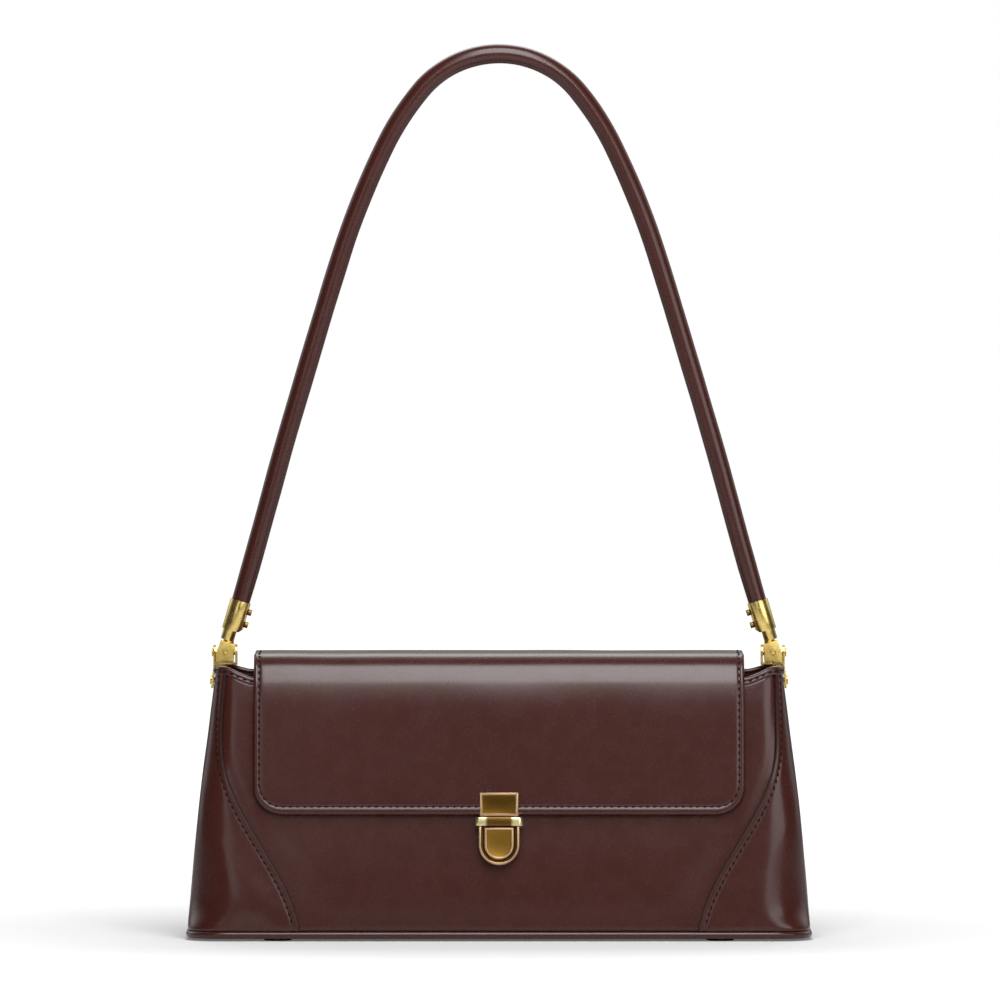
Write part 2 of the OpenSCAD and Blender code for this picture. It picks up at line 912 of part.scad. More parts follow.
// Stations along the handle: x, z and the turn from the crown, which is zero at its top
crown_steps = 12;
arm_steps = 3;
strap_sides = 12;
function arc_stations(cx, cz, r, from, to, steps) = [
    for (k = [1:steps])
        let (a = from + (to - from) * k / steps)
        [cx + r * sin(a), cz + r * cos(a), a]
];
right_stations = concat(
    arc_stations(0, crown_z - crown_r, crown_r, 0, crown_turn, crown_steps),
    arc_stations(shoulder_cx, shoulder_cz, shoulder_r, crown_turn, shoulder_turn, arm_steps),
    arc_stations(arm_cx, arm_cz, arm_r, shoulder_turn, arm_turn, arm_steps),
    [[pivot_x - strap_end * sin(leg_lean), pivot_z + strap_end * cos(leg_lean), arm_turn]]
);
stations = concat(
    [for (s = backwards(right_stations)) [-s[0], s[1], -s[2]]],
    [[0, crown_z, 0]],
    right_stations
);

// A round section of radius r at every station
function tube_points(r) = [
    for (s = stations)
        for (k = [0:strap_sides - 1])
            let (a = 360 * k / strap_sides, out = r * cos(a))
            [s[0] + out * sin(s[2]), r * sin(a), s[1] + out * cos(s[2])]
];
function tube_sides(start, outward) = [
    for (n = [0:len(stations) - 2])
        for (k = [0:strap_sides - 1])
            let (
                j = (k + 1) % strap_sides,
                p = start + n * strap_sides,
                q = p + strap_sides
            )
            for (face = outward
                ? [[p + k, p + j, q + j], [p + k, q + j, q + k]]
                : [[p + j, p + k, q + j], [q + j, p + k, q + k]])
                face
];
// The first point of the last ring of a tube
last_ring = (len(stations) - 1) * strap_sides;

module tube(outer_r, inner_r) {
    inner = len(stations) * strap_sides;
    polyhedron(
        points = concat(tube_points(outer_r), tube_points(inner_r)),
        faces = concat(
            tube_sides(0, true),
            tube_sides(inner, false),
            [for (k = [0:strap_sides - 1]) let (j = (k + 1) % strap_sides) each [
                [j, k, inner + k], [j, inner + k, inner + j],
                [last_ring + k, last_ring + j, inner + last_ring + j],
                [last_ring + k, inner + last_ring + j, inner + last_ring + k]
            ]]
        )
    );
}

module rod(r) {
    polyhedron(
        points = tube_points(r),
        faces = concat(
            tube_sides(0, true),
            [[for (k = [0:strap_sides - 1]) strap_sides - 1 - k]],
            [[for (k = [0:strap_sides - 1]) last_ring + k]]
        )
    );
}

screw_places = [barrel_high - screw_first, barrel_high - screw_first - screw_step];
// The ferrule's screws enter from the inner side of the handle
module at_screws() {
    along_leg()
        for (s = screw_places)
            translate([-ferrule_d / 2, 0, s])
                rotate([0, 90, 0])
                    children();
}
module screw_holes() {
    both_sides()
        at_screws()
            translate([0, 0, -over])
                cylinder(d = screw_d + 2 * hole_fit, h = screw_len + over + hole_fit);
}

module strap() {
    color(leather)
        difference() {
            tube(strap_d / 2, strap_d / 2 - strap_wall);
            screw_holes();
        }
}

module strap_core() {
    color(board)
        difference() {
            rod(strap_d / 2 - strap_wall - hole_fit);
            screw_holes();
        }
}

module ferrule() {
    chamfer = (ferrule_d - neck_d) / 2 + neck_shift;
    color(gold)
        difference() {
            along_leg()
                difference() {
                    union() {
                        translate([0, 0, barrel_low])
                            cylinder(d = ferrule_d, h = ferrule_len);
                        translate([neck_shift, 0, neck_low])
                            cylinder(d = neck_d, h = neck_len);
                        translate([0, 0, knuckle_top])
                            cylinder(d = groove_d, h = groove_h);
                        translate([0, 0, knuckle_top - stem_len])
                            cylinder(d = stem_d, h = stem_len);
                    }
                    translate([0, 0, strap_end])
                        cylinder(d = strap_d + 2 * ferrule_fit, h = strap_in + over);
                    translate([-ferrule_d / 2, 0, barrel_low])
                        rotate([0, 45, 0])
                            cube([chamfer * sqrt(2), 2 * ferrule_d, chamfer], center = true);
                }
            screw_holes();
        }
}

module ferrule_screws() {
    color(antique)
        both_sides()
            at_screws() {
                cylinder(d = screw_d, h = screw_len);
                translate([0, 0, -screw_head_h])
                    cylinder(d = screw_head_d, h = screw_head_h);
            }
}

module along_x(r, low, high) {
    translate([low, 0, 0])
        rotate([0, 90, 0])
            cylinder(r = r, h = high - low);
}

module knuckle() {
    color(gold)
        right_pivot()
            difference() {
                intersection() {
                    union() {
                        along_x(knuckle_r, -knuckle_w, knuckle_w);
                        translate([-knuckle_w, -knuckle_r, 0])
                            cube([2 * knuckle_w, 2 * knuckle_r, 2 * knuckle_top]);
                    }
                    rotate([0, -knuckle_lean, 0])
                        cube([knuckle_w, 3 * knuckle_r, 4 * knuckle_top], center = true);
                    rotate([0, -leg_lean, 0])
                        translate([-2 * knuckle_w, -2 * knuckle_r, knuckle_top - 4 * knuckle_r])
                            cube([4 * knuckle_w, 4 * knuckle_r, 4 * knuckle_r]);
                }
                along_x(pin_r + pin_fit, -knuckle_w, knuckle_w);
                rotate([0, -leg_lean, 0])
                    translate([0, 0, knuckle_top - stem_len - hole_fit])
                        cylinder(d = stem_d + 2 * hole_fit, h = stem_len + over);
                rotate([90, 0, 0])
                    cylinder(r = set_screw_r + hole_fit, h = knuckle_r + over);
            }
}

module pivot_pins() {
    far = cheek_gap + clip_t;
    color(gold)
        both_sides()
            right_pivot() {
                along_x(pin_r, -far, far + head_gap);
                along_x(pin_head_r, far + head_gap, far + head_gap + pin_head_h);
            }
}

module pin_set_screws() {
    slot = set_screw_r / 3;
    color(antique)
        both_sides()
            right_pivot()
                difference() {
                    translate([0, -pin_r - hole_fit, 0])
                        rotate([90, 0, 0])
                            cylinder(r = set_screw_r, h = knuckle_r - pin_r - hole_fit);
                    translate([-knuckle_w, -knuckle_r - over, -slot / 2])
                        cube([2 * knuckle_w, over + slot, slot]);
                }
}

module side_clip() {
    far = cheek_gap + clip_t;
    color(gold)
        difference() {
            union() {
                right_pivot() {
                    for (x = [-far, cheek_gap]) {
                        along_x_cheek(x);
                    }
                }
                translate([pivot_x - far, -clip_r, corner_h])
                    cube([2 * far, 2 * clip_r, clip_t]);
                clip_legs();
            }
            right_pivot()
                along_x(pin_r + pin_fit, -2 * far, 2 * far);
            clip_rivet_hole();
        }
}

module along_x_cheek(x) {
    along_x(clip_r, x, x + clip_t);
    translate([x, -clip_r, corner_h - pivot_z])
        cube([clip_t, 2 * clip_r, pivot_z - corner_h]);
}

module clip_legs() {
    inner = wall_t / cos(side_lean) + clip_fit;
    translate([half_w(corner_h), 0, corner_h])
        rotate([0, -side_lean, 0])
            for (x = [clip_fit, -inner - clip_t])
                translate([x, -clip_r, -clip_leg])
                    cube([clip_t, 2 * clip_r, clip_leg + clip_t / 2 + max(0, -x) * side_slope]);
}

module clip_rivets() {
    inner = wall_t / cos(side_lean) + clip_fit + clip_t;
    outer = clip_fit + clip_t;
    color(gold)
        both_sides()
            at_clip_rivet() {
                translate([0, 0, -inner])
                    cylinder(r = rivet_r, h = inner + outer);
                translate([0, 0, outer])
                    cylinder(r = rivet_head_r, h = rivet_head_h);
                translate([0, 0, -inner - rivet_head_h])
                    cylinder(r = rivet_head_r, h = rivet_head_h);
            }
}

front_panel();
back_panel();
gusset(-1);  // left_gusset
gusset(1);  // right_gusset
gusset_board(-1);  // left_gusset_board
gusset_board(1);  // right_gusset_board
base_panel();
base_board();
base_feet();
mouth_binding();
lining();
flap_tail();
flap_leather();
flap_lining();
lock_flap_plate();
lock_flap_backplate();
lock_flap_rivets();
lock_base_plate();
lock_case();
lock_mouth_band();
lock_base_rivets();
lock_washer();
lock_button();
lock_spring();
strap();
strap_core();
mirror([1, 0, 0]) ferrule();  // left_ferrule
ferrule();  // right_ferrule
ferrule_screws();
mirror([1, 0, 0]) knuckle();  // left_knuckle
knuckle();  // right_knuckle
pivot_pins();
pin_set_screws();
mirror([1, 0, 0]) side_clip();  // left_side_clip
side_clip();  // right_side_clip
clip_rivets();
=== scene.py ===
import json
import math

import bmesh
import bpy
from mathutils import Matrix, Vector, noise


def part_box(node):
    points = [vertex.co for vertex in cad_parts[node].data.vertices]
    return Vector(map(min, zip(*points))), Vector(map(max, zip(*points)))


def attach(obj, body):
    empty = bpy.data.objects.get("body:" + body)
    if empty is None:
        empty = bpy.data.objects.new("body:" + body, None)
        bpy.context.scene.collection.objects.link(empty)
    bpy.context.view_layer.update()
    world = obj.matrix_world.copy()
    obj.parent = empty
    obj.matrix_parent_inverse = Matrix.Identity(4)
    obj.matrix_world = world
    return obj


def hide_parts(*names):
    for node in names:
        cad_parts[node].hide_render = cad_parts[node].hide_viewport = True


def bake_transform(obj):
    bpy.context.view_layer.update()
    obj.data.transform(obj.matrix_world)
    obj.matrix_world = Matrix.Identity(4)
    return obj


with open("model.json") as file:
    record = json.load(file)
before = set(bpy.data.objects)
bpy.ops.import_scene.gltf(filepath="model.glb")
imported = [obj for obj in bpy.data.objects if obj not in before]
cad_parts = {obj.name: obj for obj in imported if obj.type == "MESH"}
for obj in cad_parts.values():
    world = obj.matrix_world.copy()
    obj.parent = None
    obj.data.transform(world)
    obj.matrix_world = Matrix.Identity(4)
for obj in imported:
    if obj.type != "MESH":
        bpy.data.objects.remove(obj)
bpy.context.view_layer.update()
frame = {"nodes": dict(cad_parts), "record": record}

# Base: a board covered in smooth leather. Its edge is turned up and rolled, and stands out
# from the walls as a low welt that the walls are sewn to from inside.
mm = 0.001
wall_start, wall_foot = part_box("right_gusset")
wall_low, wall_top = wall_start.z, wall_foot.z
binding_low, binding_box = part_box("mouth_binding")
gusset_t = 1.2 * mm
base_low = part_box("base_panel")[0]
lean_x = (wall_foot.x - binding_box.x) / (wall_top - wall_low)
lean_y = (wall_foot.y - binding_box.y - gusset_t) / (binding_low.z - wall_low)
foot_corner_r = 14 * mm
corner_taper = 0.045
corner_slack = 7 * mm
slack_widest_z, slack_end_z = 14 * mm, 62 * mm
at_middle = 30 * mm
base_profile = [
    (-30.0, 0.0), (-12.0, 0.0), (-3.0, 0.0), (-1.4, 0.02), (-0.5, 0.2), (0.15, 0.7), (0.42, 1.35),
    (0.4, 2.0), (0.15, 2.55), (-0.3, 2.85), (-0.9, 3.0), (-3.0, 3.0), (-12.0, 3.0), (-30.0, 3.0),
]


def clamp(value):
    return min(1, max(0, value))


def ease(value, low, high):
    """0 below low, 1 above high, and a smooth rise between them."""
    share = clamp((value - low) / (high - low))
    return share * share * (3 - 2 * share)


def half_width(z):
    return wall_foot.x - lean_x * (z - wall_low)


def half_depth(z):
    return wall_foot.y - lean_y * (z - wall_low)


def corner_radius(z):
    """The soft corners widen a little over the base, where nothing stretches the leather."""
    slack = corner_slack * ease(z, wall_low, slack_widest_z)
    slack *= 1 - ease(z, slack_widest_z, slack_end_z)
    return foot_corner_r - corner_taper * (z - wall_low) + slack


def wall_point(u, z, out):
    """The point u round the wall from its front middle, at height z, that far out of it."""
    r = corner_radius(z)
    a, b = half_width(z) - r, half_depth(z) - r
    turn, way = r * math.pi / 2, abs(u)
    side = math.copysign(1, u)
    if way <= a:
        x, y = way, -b - r - out
    elif way <= a + turn:
        angle = (way - a) / r
        x, y = a + (r + out) * math.sin(angle), -b - (r + out) * math.cos(angle)
    elif way <= a + turn + 2 * b:
        x, y = a + r + out, -b + way - a - turn
    elif way <= a + 2 * turn + 2 * b:
        angle = (way - a - turn - 2 * b) / r
        x, y = a + (r + out) * math.cos(angle), b + (r + out) * math.sin(angle)
    else:
        x, y = 2 * a + 2 * turn + 2 * b - way, b + r + out
    return Vector((side * x, y, z))


def fold_in(point):
    """Brings a point of the outline to the bag's middle line, where front and back meet."""
    reach = half_width(wall_low) - half_depth(wall_low)
    return Vector((min(reach, max(-reach, point.x)), 0, point.z))


def half_round(z):
    """The way from the front middle round to the back middle."""
    r = corner_radius(z)
    return 2 * (half_width(z) - r) + 2 * (half_depth(z) - r) + math.pi * r


def spread(start, stop, step):
    """Numbers from start to stop, about a step apart."""
    count = max(1, round(abs(stop - start) / step))
    return [start + (stop - start) * k / count for k in range(count + 1)]


def deselect():
    bpy.ops.object.select_all(action="DESELECT")


def pick(piece):
    """Selects one piece alone and makes it the active one."""
    deselect()
    piece.select_set(True)
    bpy.context.view_layer.objects.active = piece


def sheet(name, columns, rows, place):
    """A grid of leather or cloth, each corner laid where place says for its column and row."""
    deselect()
    bpy.ops.mesh.primitive_grid_add(
        x_subdivisions=len(columns) - 1, y_subdivisions=len(rows) - 1, size=1
    )
    piece = bpy.context.object
    piece.name = piece.data.name = name
    for vertex in piece.data.vertices:
        row, column = divmod(vertex.index, len(columns))
        vertex.co = place(columns[column], rows[row])
    return piece


def edit(piece, *steps):
    """Runs edit-mode steps on all of a piece."""
    pick(piece)
    bpy.ops.object.mode_set(mode="EDIT")
    bpy.ops.mesh.select_all(action="SELECT")
    for step in steps:
        step()
    bpy.ops.object.mode_set(mode="OBJECT")


def join_ends():
    bpy.ops.mesh.remove_doubles(threshold=0.01 * mm)


def face_outwards():
    bpy.ops.mesh.normals_make_consistent(inside=False)


def smooth(piece, degrees=180):
    """Shades a piece smooth, but keeps edges sharper than that angle."""
    pick(piece)
    if degrees < 180:
        bpy.ops.object.shade_smooth_by_angle(angle=math.radians(degrees))
    else:
        bpy.ops.object.shade_smooth()


class Socket:
    """An output of a node, on which sums are written as Python expressions."""

    def __init__(self, finish, socket):
        self.finish, self.socket = finish, socket

    def __add__(self, other):
        return self.finish.maths("ADD", self, other)

    def __sub__(self, other):
        return self.finish.maths("SUBTRACT", self, other)

    def __rsub__(self, other):
        return self.finish.maths("SUBTRACT", other, self)

    def __mul__(self, other):
        return self.finish.maths("MULTIPLY", self, other)

    __radd__ = __add__
    __rmul__ = __mul__


class Finish:
    """A material, or the sky, whose nodes are added one by one."""

    def __init__(self, owner):
        self.owner = bpy.data.materials.new(owner) if isinstance(owner, str) else owner
        self.owner.use_nodes = True
        self.tree = self.owner.node_tree
        self.tree.nodes.clear()

    def add(self, kind, settings=None, values=None, out=0):
        node = self.tree.nodes.new(kind)
        for key, value in (settings or {}).items():
            setattr(node, key, value)
        for key, value in (values or {}).items():
            if isinstance(value, Socket):
                self.tree.links.new(value.socket, node.inputs[key])
            else:
                node.inputs[key].default_value = value
        return Socket(self, node.outputs[out]) if len(node.outputs) else node

    def maths(self, operation, first, second=0.0):
        return self.add("ShaderNodeMath", {"operation": operation}, {0: first, 1: second})

    def step(self, value, low, high):
        """0 below low, 1 above high, and a smooth rise between them."""
        settings = {"interpolation_type": "SMOOTHSTEP"}
        return self.add(
            "ShaderNodeMapRange", settings, {"Value": value, "From Min": low, "From Max": high}
        )

    def place(self, kind="Object"):
        return self.add("ShaderNodeTexCoord", out=kind)

    def ray(self, kind):
        """1 on rays of that kind and 0 on others."""
        return self.add("ShaderNodeLightPath", out=f"Is {kind} Ray")

    def along(self, axis, vector=None):
        values = {"Vector": vector or self.place()}
        return self.add("ShaderNodeSeparateXYZ", values=values, out=axis)

    def stretched(self, scale):
        return self.add("ShaderNodeMapping", values={"Vector": self.place(), "Scale": scale})

    def noise(self, scale, detail=3.0, vector=None):
        values = {"Vector": vector or self.place(), "Scale": scale, "Detail": detail}
        return self.add("ShaderNodeTexNoise", values=values)

    def mix(self, share, first, second):
        """From one colour to another by share."""
        values = {0: share, 6: first, 7: second}
        return self.add("ShaderNodeMix", {"data_type": "RGBA"}, values, out=2)

    def relief(self, height, distance, strength=1.0, normal=None):
        values = {"Height": height, "Distance": distance, "Strength": strength}
        if normal:
            values["Normal"] = normal
        return self.add("ShaderNodeBump", values=values)

    def shader(self, **values):
        values = {key.replace("_", " "): value for key, value in values.items()}
        surface = self.add("ShaderNodeBsdfPrincipled", values=values)
        self.add("ShaderNodeOutputMaterial", values={"Surface": surface})
        return self.owner


def colour(red, green, blue):
    """A colour as a screen shows it, 0 to 255, as light."""
    def light(part):
        part /= 255
        return part / 12.92 if part <= 0.04045 else ((part + 0.055) / 1.055) ** 2.4
    return (light(red), light(green), light(blue), 1)


def leather_finish(name, dark, light, gloss, edge_paint_and_shade_share=0):
    """Smooth coated leather: cloudy dye, fine pores, and a film that wears a little matt. Where a
    share is given, that share of the sheet beside its two long edges is dark and matt: partly the
    turned edge's real dark finish, partly a painted shadow where the edge steps down to the panel
    beneath."""
    leather = Finish(name)
    cloud = leather.noise(28, 4)
    pores = leather.add(
        "ShaderNodeTexVoronoi", {"feature": "SMOOTH_F1"},
        {"Vector": leather.place(), "Scale": 1900, "Smoothness": 0.6}
    )
    grain = leather.noise(1100, 3)
    wear = leather.noise(140, 5)
    height = pores * 0.6 + grain * 0.5
    dye = leather.mix(leather.step(cloud * 0.5 + wear * 0.5, 0.2, 0.8), dark, light)
    roughness = wear * 0.08 + grain * 0.05 + (gloss - 0.065)
    film = 0.1
    if edge_paint_and_shade_share:
        # Dark edge band: partly the edge's real dark finish, partly a painted shadow beside the
        # step down to the panel. More roughness and no film there take away its glint.
        side = leather.along("X", leather.place("UV"))
        edge = leather.maths("MINIMUM", side, 1 - side)
        edge_paint_and_shade = 1 - leather.step(edge, edge_paint_and_shade_share * 0.5, edge_paint_and_shade_share)
        dye = leather.mix(edge_paint_and_shade, dye, colour(20, 8, 6))
        roughness = roughness + edge_paint_and_shade * 0.55
        film = film - edge_paint_and_shade * film
    return leather.shader(
        Base_Color=dye,
        Roughness=roughness,
        Normal=leather.relief(height, 0.00005, 0.25),
        Specular_IOR_Level=0.45,
        Coat_Weight=film,
        Coat_Roughness=0.16,
    )


def dress(piece, body, slot, material, *nodes):
    """Gives a new piece its material and hangs it on its body, or, for the fold pieces, bakes its
    place into its mesh instead, and hides the nodes that it stands for.
    """
    piece.data.materials.clear()
    piece.data.materials.append(material)
    if body == "fold":
        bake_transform(piece)
    else:
        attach(piece, body)
    if nodes:
        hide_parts(*nodes)


oxblood_tones = (colour(60, 24, 18), colour(65, 27, 21))
oxblood = leather_finish("oxblood_leather", *oxblood_tones, 0.27)


def base_place(share, row):
    out, up = row[0] * mm, row[1] * mm
    point = wall_point(share * half_round(wall_low), wall_low, max(out, -at_middle / 3))
    point.z = base_low.z + up
    return fold_in(point) if out <= -at_middle else point


base = sheet("base_leather", spread(-1, 1, 2 / 176), base_profile, base_place)
edit(base, join_ends, face_outwards)
smooth(base)
dress(base, "bag", "leather", oxblood, "base_panel")

# Base board: grey pressed board, glued between the leather and the lining, so that it only
# shows on a bench.
def board_finish():
    board = Finish("grey_board")
    fibres = board.noise(1, 4, board.stretched((500, 2500, 500)))
    specks = board.noise(900, 2)
    return board.shader(
        Base_Color=board.mix(specks, colour(128, 118, 102), colour(160, 150, 132)),
        Roughness=fibres * 0.1 + 0.8,
        Normal=board.relief(fibres, 0.0001, 0.4),
    )


def refinish(material, *nodes):
    for node in nodes:
        piece = frame["nodes"][node]
        piece.data.materials.clear()
        piece.data.materials.append(material)


grey_board = board_finish()
refinish(grey_board, "base_board")

# Feet: four low domed feet of darkened brass, whose rivets go through the base and its board.
# Edges of stamped and turned metal are broken with a small round.
def metal_finish(name, dark, light, roughness, worn=None):
    """Plated metal with fine brush marks. It is dark in faint clouds, or else all over but
    where worn gives a mask of what is rubbed bright."""
    metal = Finish(name)
    marks = metal.noise(1, 3, metal.stretched((900, 900, 9000)))
    clouds = metal.noise(420, 4)
    bright = worn(metal) if worn else metal.step(clouds, 0.25, 0.75)
    return metal.shader(
        Base_Color=metal.mix(bright, dark, light),
        Metallic=1.0,
        Roughness=marks * 0.1 + clouds * 0.12 + (roughness - 0.11),
        Normal=metal.relief(marks * 0.06 + clouds * 0.4, 0.00002, 0.12),
    )


def add_modifier(piece, kind, **settings):
    modifier = piece.modifiers.new(kind.title(), kind)
    for key, value in settings.items():
        setattr(modifier, key, value)
    return modifier.name


def soften(width, *nodes):
    """Breaks the edges of solid pieces with a small round."""
    for node in nodes:
        piece = frame["nodes"][node]
        add_modifier(piece, "WELD", merge_threshold=0.002 * mm)
        add_modifier(piece, "DECIMATE", decimate_type="DISSOLVE", angle_limit=math.radians(0.6))
        add_modifier(piece, "BEVEL", width=width, segments=3, angle_limit=math.radians(32))
        smooth(piece, 40)


antique = metal_finish("antique_brass", colour(98, 74, 34), colour(150, 118, 62), 0.34)
refinish(antique, "base_feet")
soften(0.3 * mm, "base_feet")

# Front and back: one panel of leather each, which runs under the ends' edges and under the
# binding. It is stretched flat below the flap, and swells a little before each seam.
seam_foot_x = wall_foot.x - 48.5 * mm
seam_top_x = half_width(binding_box.z) - 2.8 * mm
seam_below = 3 * mm
seam_straight_z = binding_box.z - 31 * mm
mouth_dip = 4.5 * mm
dip_start_x = half_width(binding_box.z) - 3.3 * mm
dip_run = 12 * mm
back_dip_share = 0.6
edge_zone = 14 * mm
lift_low, lift_high = 92 * mm, 108 * mm
tuck = 0.7 * mm
puff = 0.9 * mm
puff_full_z, puff_fades_z = 20 * mm, 28 * mm
puff_end_z = {-1: 62 * mm, 1: 86 * mm}
side_puff = 0.55 * mm
side_puff_rise, side_puff_fall = (40 * mm, 56 * mm), (98 * mm, 108 * mm)
side_puff_near, side_puff_across = (0.5 * mm, 5 * mm), (96 * mm, 106 * mm)


def seam_x(z):
    share = clamp((z + seam_below) / (seam_straight_z + seam_below))
    return seam_foot_x + (seam_top_x - seam_foot_x) * (1 - math.cos(math.pi * share)) / 2


def seam_way(z):
    """How far round from the front middle an end's edge lies at height z."""
    a = half_width(z) - corner_radius(z)
    x = seam_x(z)
    return x if x < a else a + corner_radius(z) * math.asin((x - a) / corner_radius(z))


def slant(z):
    """How much longer a level way is than the way square to the seam."""
    rise = 1 * mm
    return math.hypot(1, (seam_way(z + rise) - seam_way(z - rise)) / (2 * rise))


def mouth_edge(x, y=-1):
    """Height of the mouth's edge, which dips between its corners, a little less at the back."""
    share = clamp((dip_start_x - abs(x)) / dip_run)
    dip = 0.7 * share + 0.3 * ease(share, 0, 1)
    return binding_box.z - dip * mouth_dip * (1 if y < 0 else back_dip_share)


def lift(row):
    """The share of the mouth edge's rise that a row takes."""
    return ease(row, lift_low, lift_high)


def turned_under(z):
    """How far a wall's foot is drawn in at the welt."""
    return tuck * math.exp(-(z - wall_low) / tuck)


def ripple(point, size, depth):
    """A slight unevenness of soft leather."""
    return depth * noise.noise(point / size)


def modify(piece, kind, **settings):
    """Adds a modifier and applies it."""
    pick(piece)
    bpy.ops.object.modifier_apply(modifier=add_modifier(piece, kind, **settings))


def thicken(piece, thickness, levels=1):
    """Gives a sheet its thickness inwards and rounds its edges."""
    modify(piece, "SOLIDIFY", thickness=thickness, offset=-1, use_even_offset=False)
    if levels:
        modify(piece, "SUBSURF", levels=levels, render_levels=levels)


def columns_of(near, between):
    """A sheet's columns: some at ways in from each side edge, in mm, and the ones between."""
    ways = [k * mm for k in near]
    return [(-1, k) for k in ways] + [(0, k) for k in between] + [(1, k) for k in reversed(ways)]


def across_sheet(column, half, row):
    """How far a column lies from the middle of a sheet that is half wide at this row."""
    side, inward = column
    return side * (half - inward * slant(row)) if side else inward * (half - edge_zone * slant(row))


def panel_place(column, row, face):
    u = across_sheet(column, seam_way(row), row)
    z = row + lift(row) * (mouth_edge(u, face) - binding_box.z + mouth_dip)
    near = (seam_way(z) - abs(u)) / slant(z)
    swell = puff * ease(near, 0.5 * mm, edge_zone) * ease(z, wall_low, puff_full_z)
    swell *= 1 - ease(z, puff_fades_z, puff_end_z[face])
    beside = side_puff * ease(z, *side_puff_rise) * (1 - ease(z, *side_puff_fall))
    swell += beside * ease(near, *side_puff_near) * ease(abs(u), *side_puff_across)
    out = -gusset_t + swell - turned_under(z)
    point = wall_point(u, z, out)
    shown = ease(near, 0, edge_zone) * (1 - ease(z, 40 * mm, 50 * mm))
    return wall_point(u, z, out + ripple(point, 26 * mm, 0.12 * mm) * shown)


near_seam = [-2.0, -0.8, 0.2, 1.2, 2.4, 4.0, 6.0, 8.5, 11.0]
panel_columns = columns_of(near_seam, spread(-1, 1, 2 / 38))
panel_rows = [k * mm for k in (4.0, 4.25, 4.6, 5.1, 5.9, 7.2, 9.0, 11.5)]
panel_rows += spread(15 * mm, 108.5 * mm, 4.2 * mm)
half_turn = Matrix.Rotation(math.pi, 4, "Z")

front = sheet("front_leather", panel_columns, panel_rows, lambda c, r: panel_place(c, r, -1))
back = sheet("back_leather", panel_columns, panel_rows, lambda c, r: panel_place(c, r, 1))
back.data.transform(half_turn)
for panel, node in ((front, "front_panel"), (back, "back_panel")):
    thicken(panel, 1.0 * mm)
    smooth(panel)
    dress(panel, "bag", "leather", oxblood, node)

# Ends: one piece of leather wraps round each end and both its corners, over the edges of the front
# and back. Its own edge is turned in, darkened and sewn down with one row of stitches; the dark
# band along it is partly a real dark edge and partly a painted shadow where it steps down to the
# panel.
end_t = 0.75 * mm
stitch_in = 3.0 * mm
groove_depth, groove_w = 0.22 * mm, 0.6 * mm
end_edge_r, end_crest = 0.5 * mm, 0.1 * mm
end_swell = 0.9 * mm
front_fullness = (15 * mm, 30 * mm, 0.5 * mm)
back_fullness = (2 * mm, 14 * mm, 0.8 * mm)
full_low_z, full_peak_z, full_end_z = 5 * mm, 15 * mm, 46 * mm


def bump(value, centre, width):
    """1 at the centre, and falling softly to 0 on both sides."""
    return math.exp(-(((value - centre) / width) ** 2))


def rounded(near, over, deep):
    """How far an edge falls that is rounded off over that width and that deep."""
    return deep * (1 - math.sqrt(1 - clamp(1 - near / over) ** 2))


def edge_relief(near, row_in, edge_r, crest):
    """A turned edge: rounded off, full beside it, and drawn in along its stitches."""
    groove = groove_depth * bump(near, row_in, groove_w)
    return crest * bump(near, row_in / 2, 0.3 * row_in) - groove - rounded(near, edge_r, edge_r)


def low_fullness(u, z, near, full):
    """How far an end's front or back stands out low down, where it goes over the base."""
    start, stop, size = full
    at = wall_point(u, z, 0)
    flat_x = half_width(z) - corner_radius(z)
    size *= ease(near, start, stop) * (1 - ease(at.x, flat_x, flat_x + 0.9 * corner_radius(z)))
    return size * ease(z, full_low_z, full_peak_z) * (1 - ease(z, full_peak_z, full_end_z))


def end_place(column, row):
    middle = half_round(row) / 2
    half = middle - seam_way(row)
    u = middle + across_sheet(column, half, row)
    z = row + lift(row) * mouth_dip
    near = (half - abs(u - middle)) / slant(row)
    out = edge_relief(near, stitch_in, end_edge_r, end_crest) - end_crest
    up = clamp((z - wall_low) / (wall_top - wall_low))
    out += end_swell * ease(near, 4 * mm, 22 * mm) * math.sin(math.pi * up)
    out += low_fullness(u, z, near, front_fullness if u < middle else back_fullness)
    out -= turned_under(z)
    point = wall_point(u, z, out)
    shown = ease(near, 4 * mm, edge_zone) * (1 - ease(z, 85 * mm, 100 * mm))
    return wall_point(u, z, out + ripple(point, 22 * mm, 0.2 * mm) * shown)


near_edge = [0.0, 0.22, 0.6, 1.1, 1.6, 2.1, 2.6, 3.0, 3.4, 3.9, 4.8, 6.2, 8.2, 11.0]
end_columns = columns_of(near_edge, spread(-1, 1, 2 / 34))

# The end leather's dark edge band is partly real edge finish, partly a painted shadow of the step
# down to the front and back.
edge_paint_and_shade_leather = leather_finish("oxblood_leather_edge_paint_and_shade", *oxblood_tones, 0.27, 0.05)
right_end = sheet("right_end_leather", end_columns, panel_rows, end_place)
left_end = sheet("left_end_leather", end_columns, panel_rows, end_place)
left_end.data.transform(half_turn)
for end, node in ((right_end, "right_gusset"), (left_end, "left_gusset")):
    thicken(end, end_t)
    smooth(end)
    dress(end, "bag", "leather", edge_paint_and_shade_leather, node)

# Boards of the ends: the same grey board behind each end's leather, bent round its corners. It
# starts beside the front panel's edge, and is punched for the side clip's rivet.
board_t = 1.1 * mm
board_gap = 0.04 * mm
board_start = 6.6 * mm
board_top = 3 * mm
punch_half = 2.4 * mm
clip_rivet_low, clip_rivet_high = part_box("clip_rivets")
punch_z = (clip_rivet_low.z + clip_rivet_high.z) / 2


def runs(start, *stretches):
    """Numbers from start on, over stretches that each have an end and a step."""
    numbers = [start]
    for end, step in stretches:
        numbers += spread(numbers[-1], end, step)[1:]
    return numbers


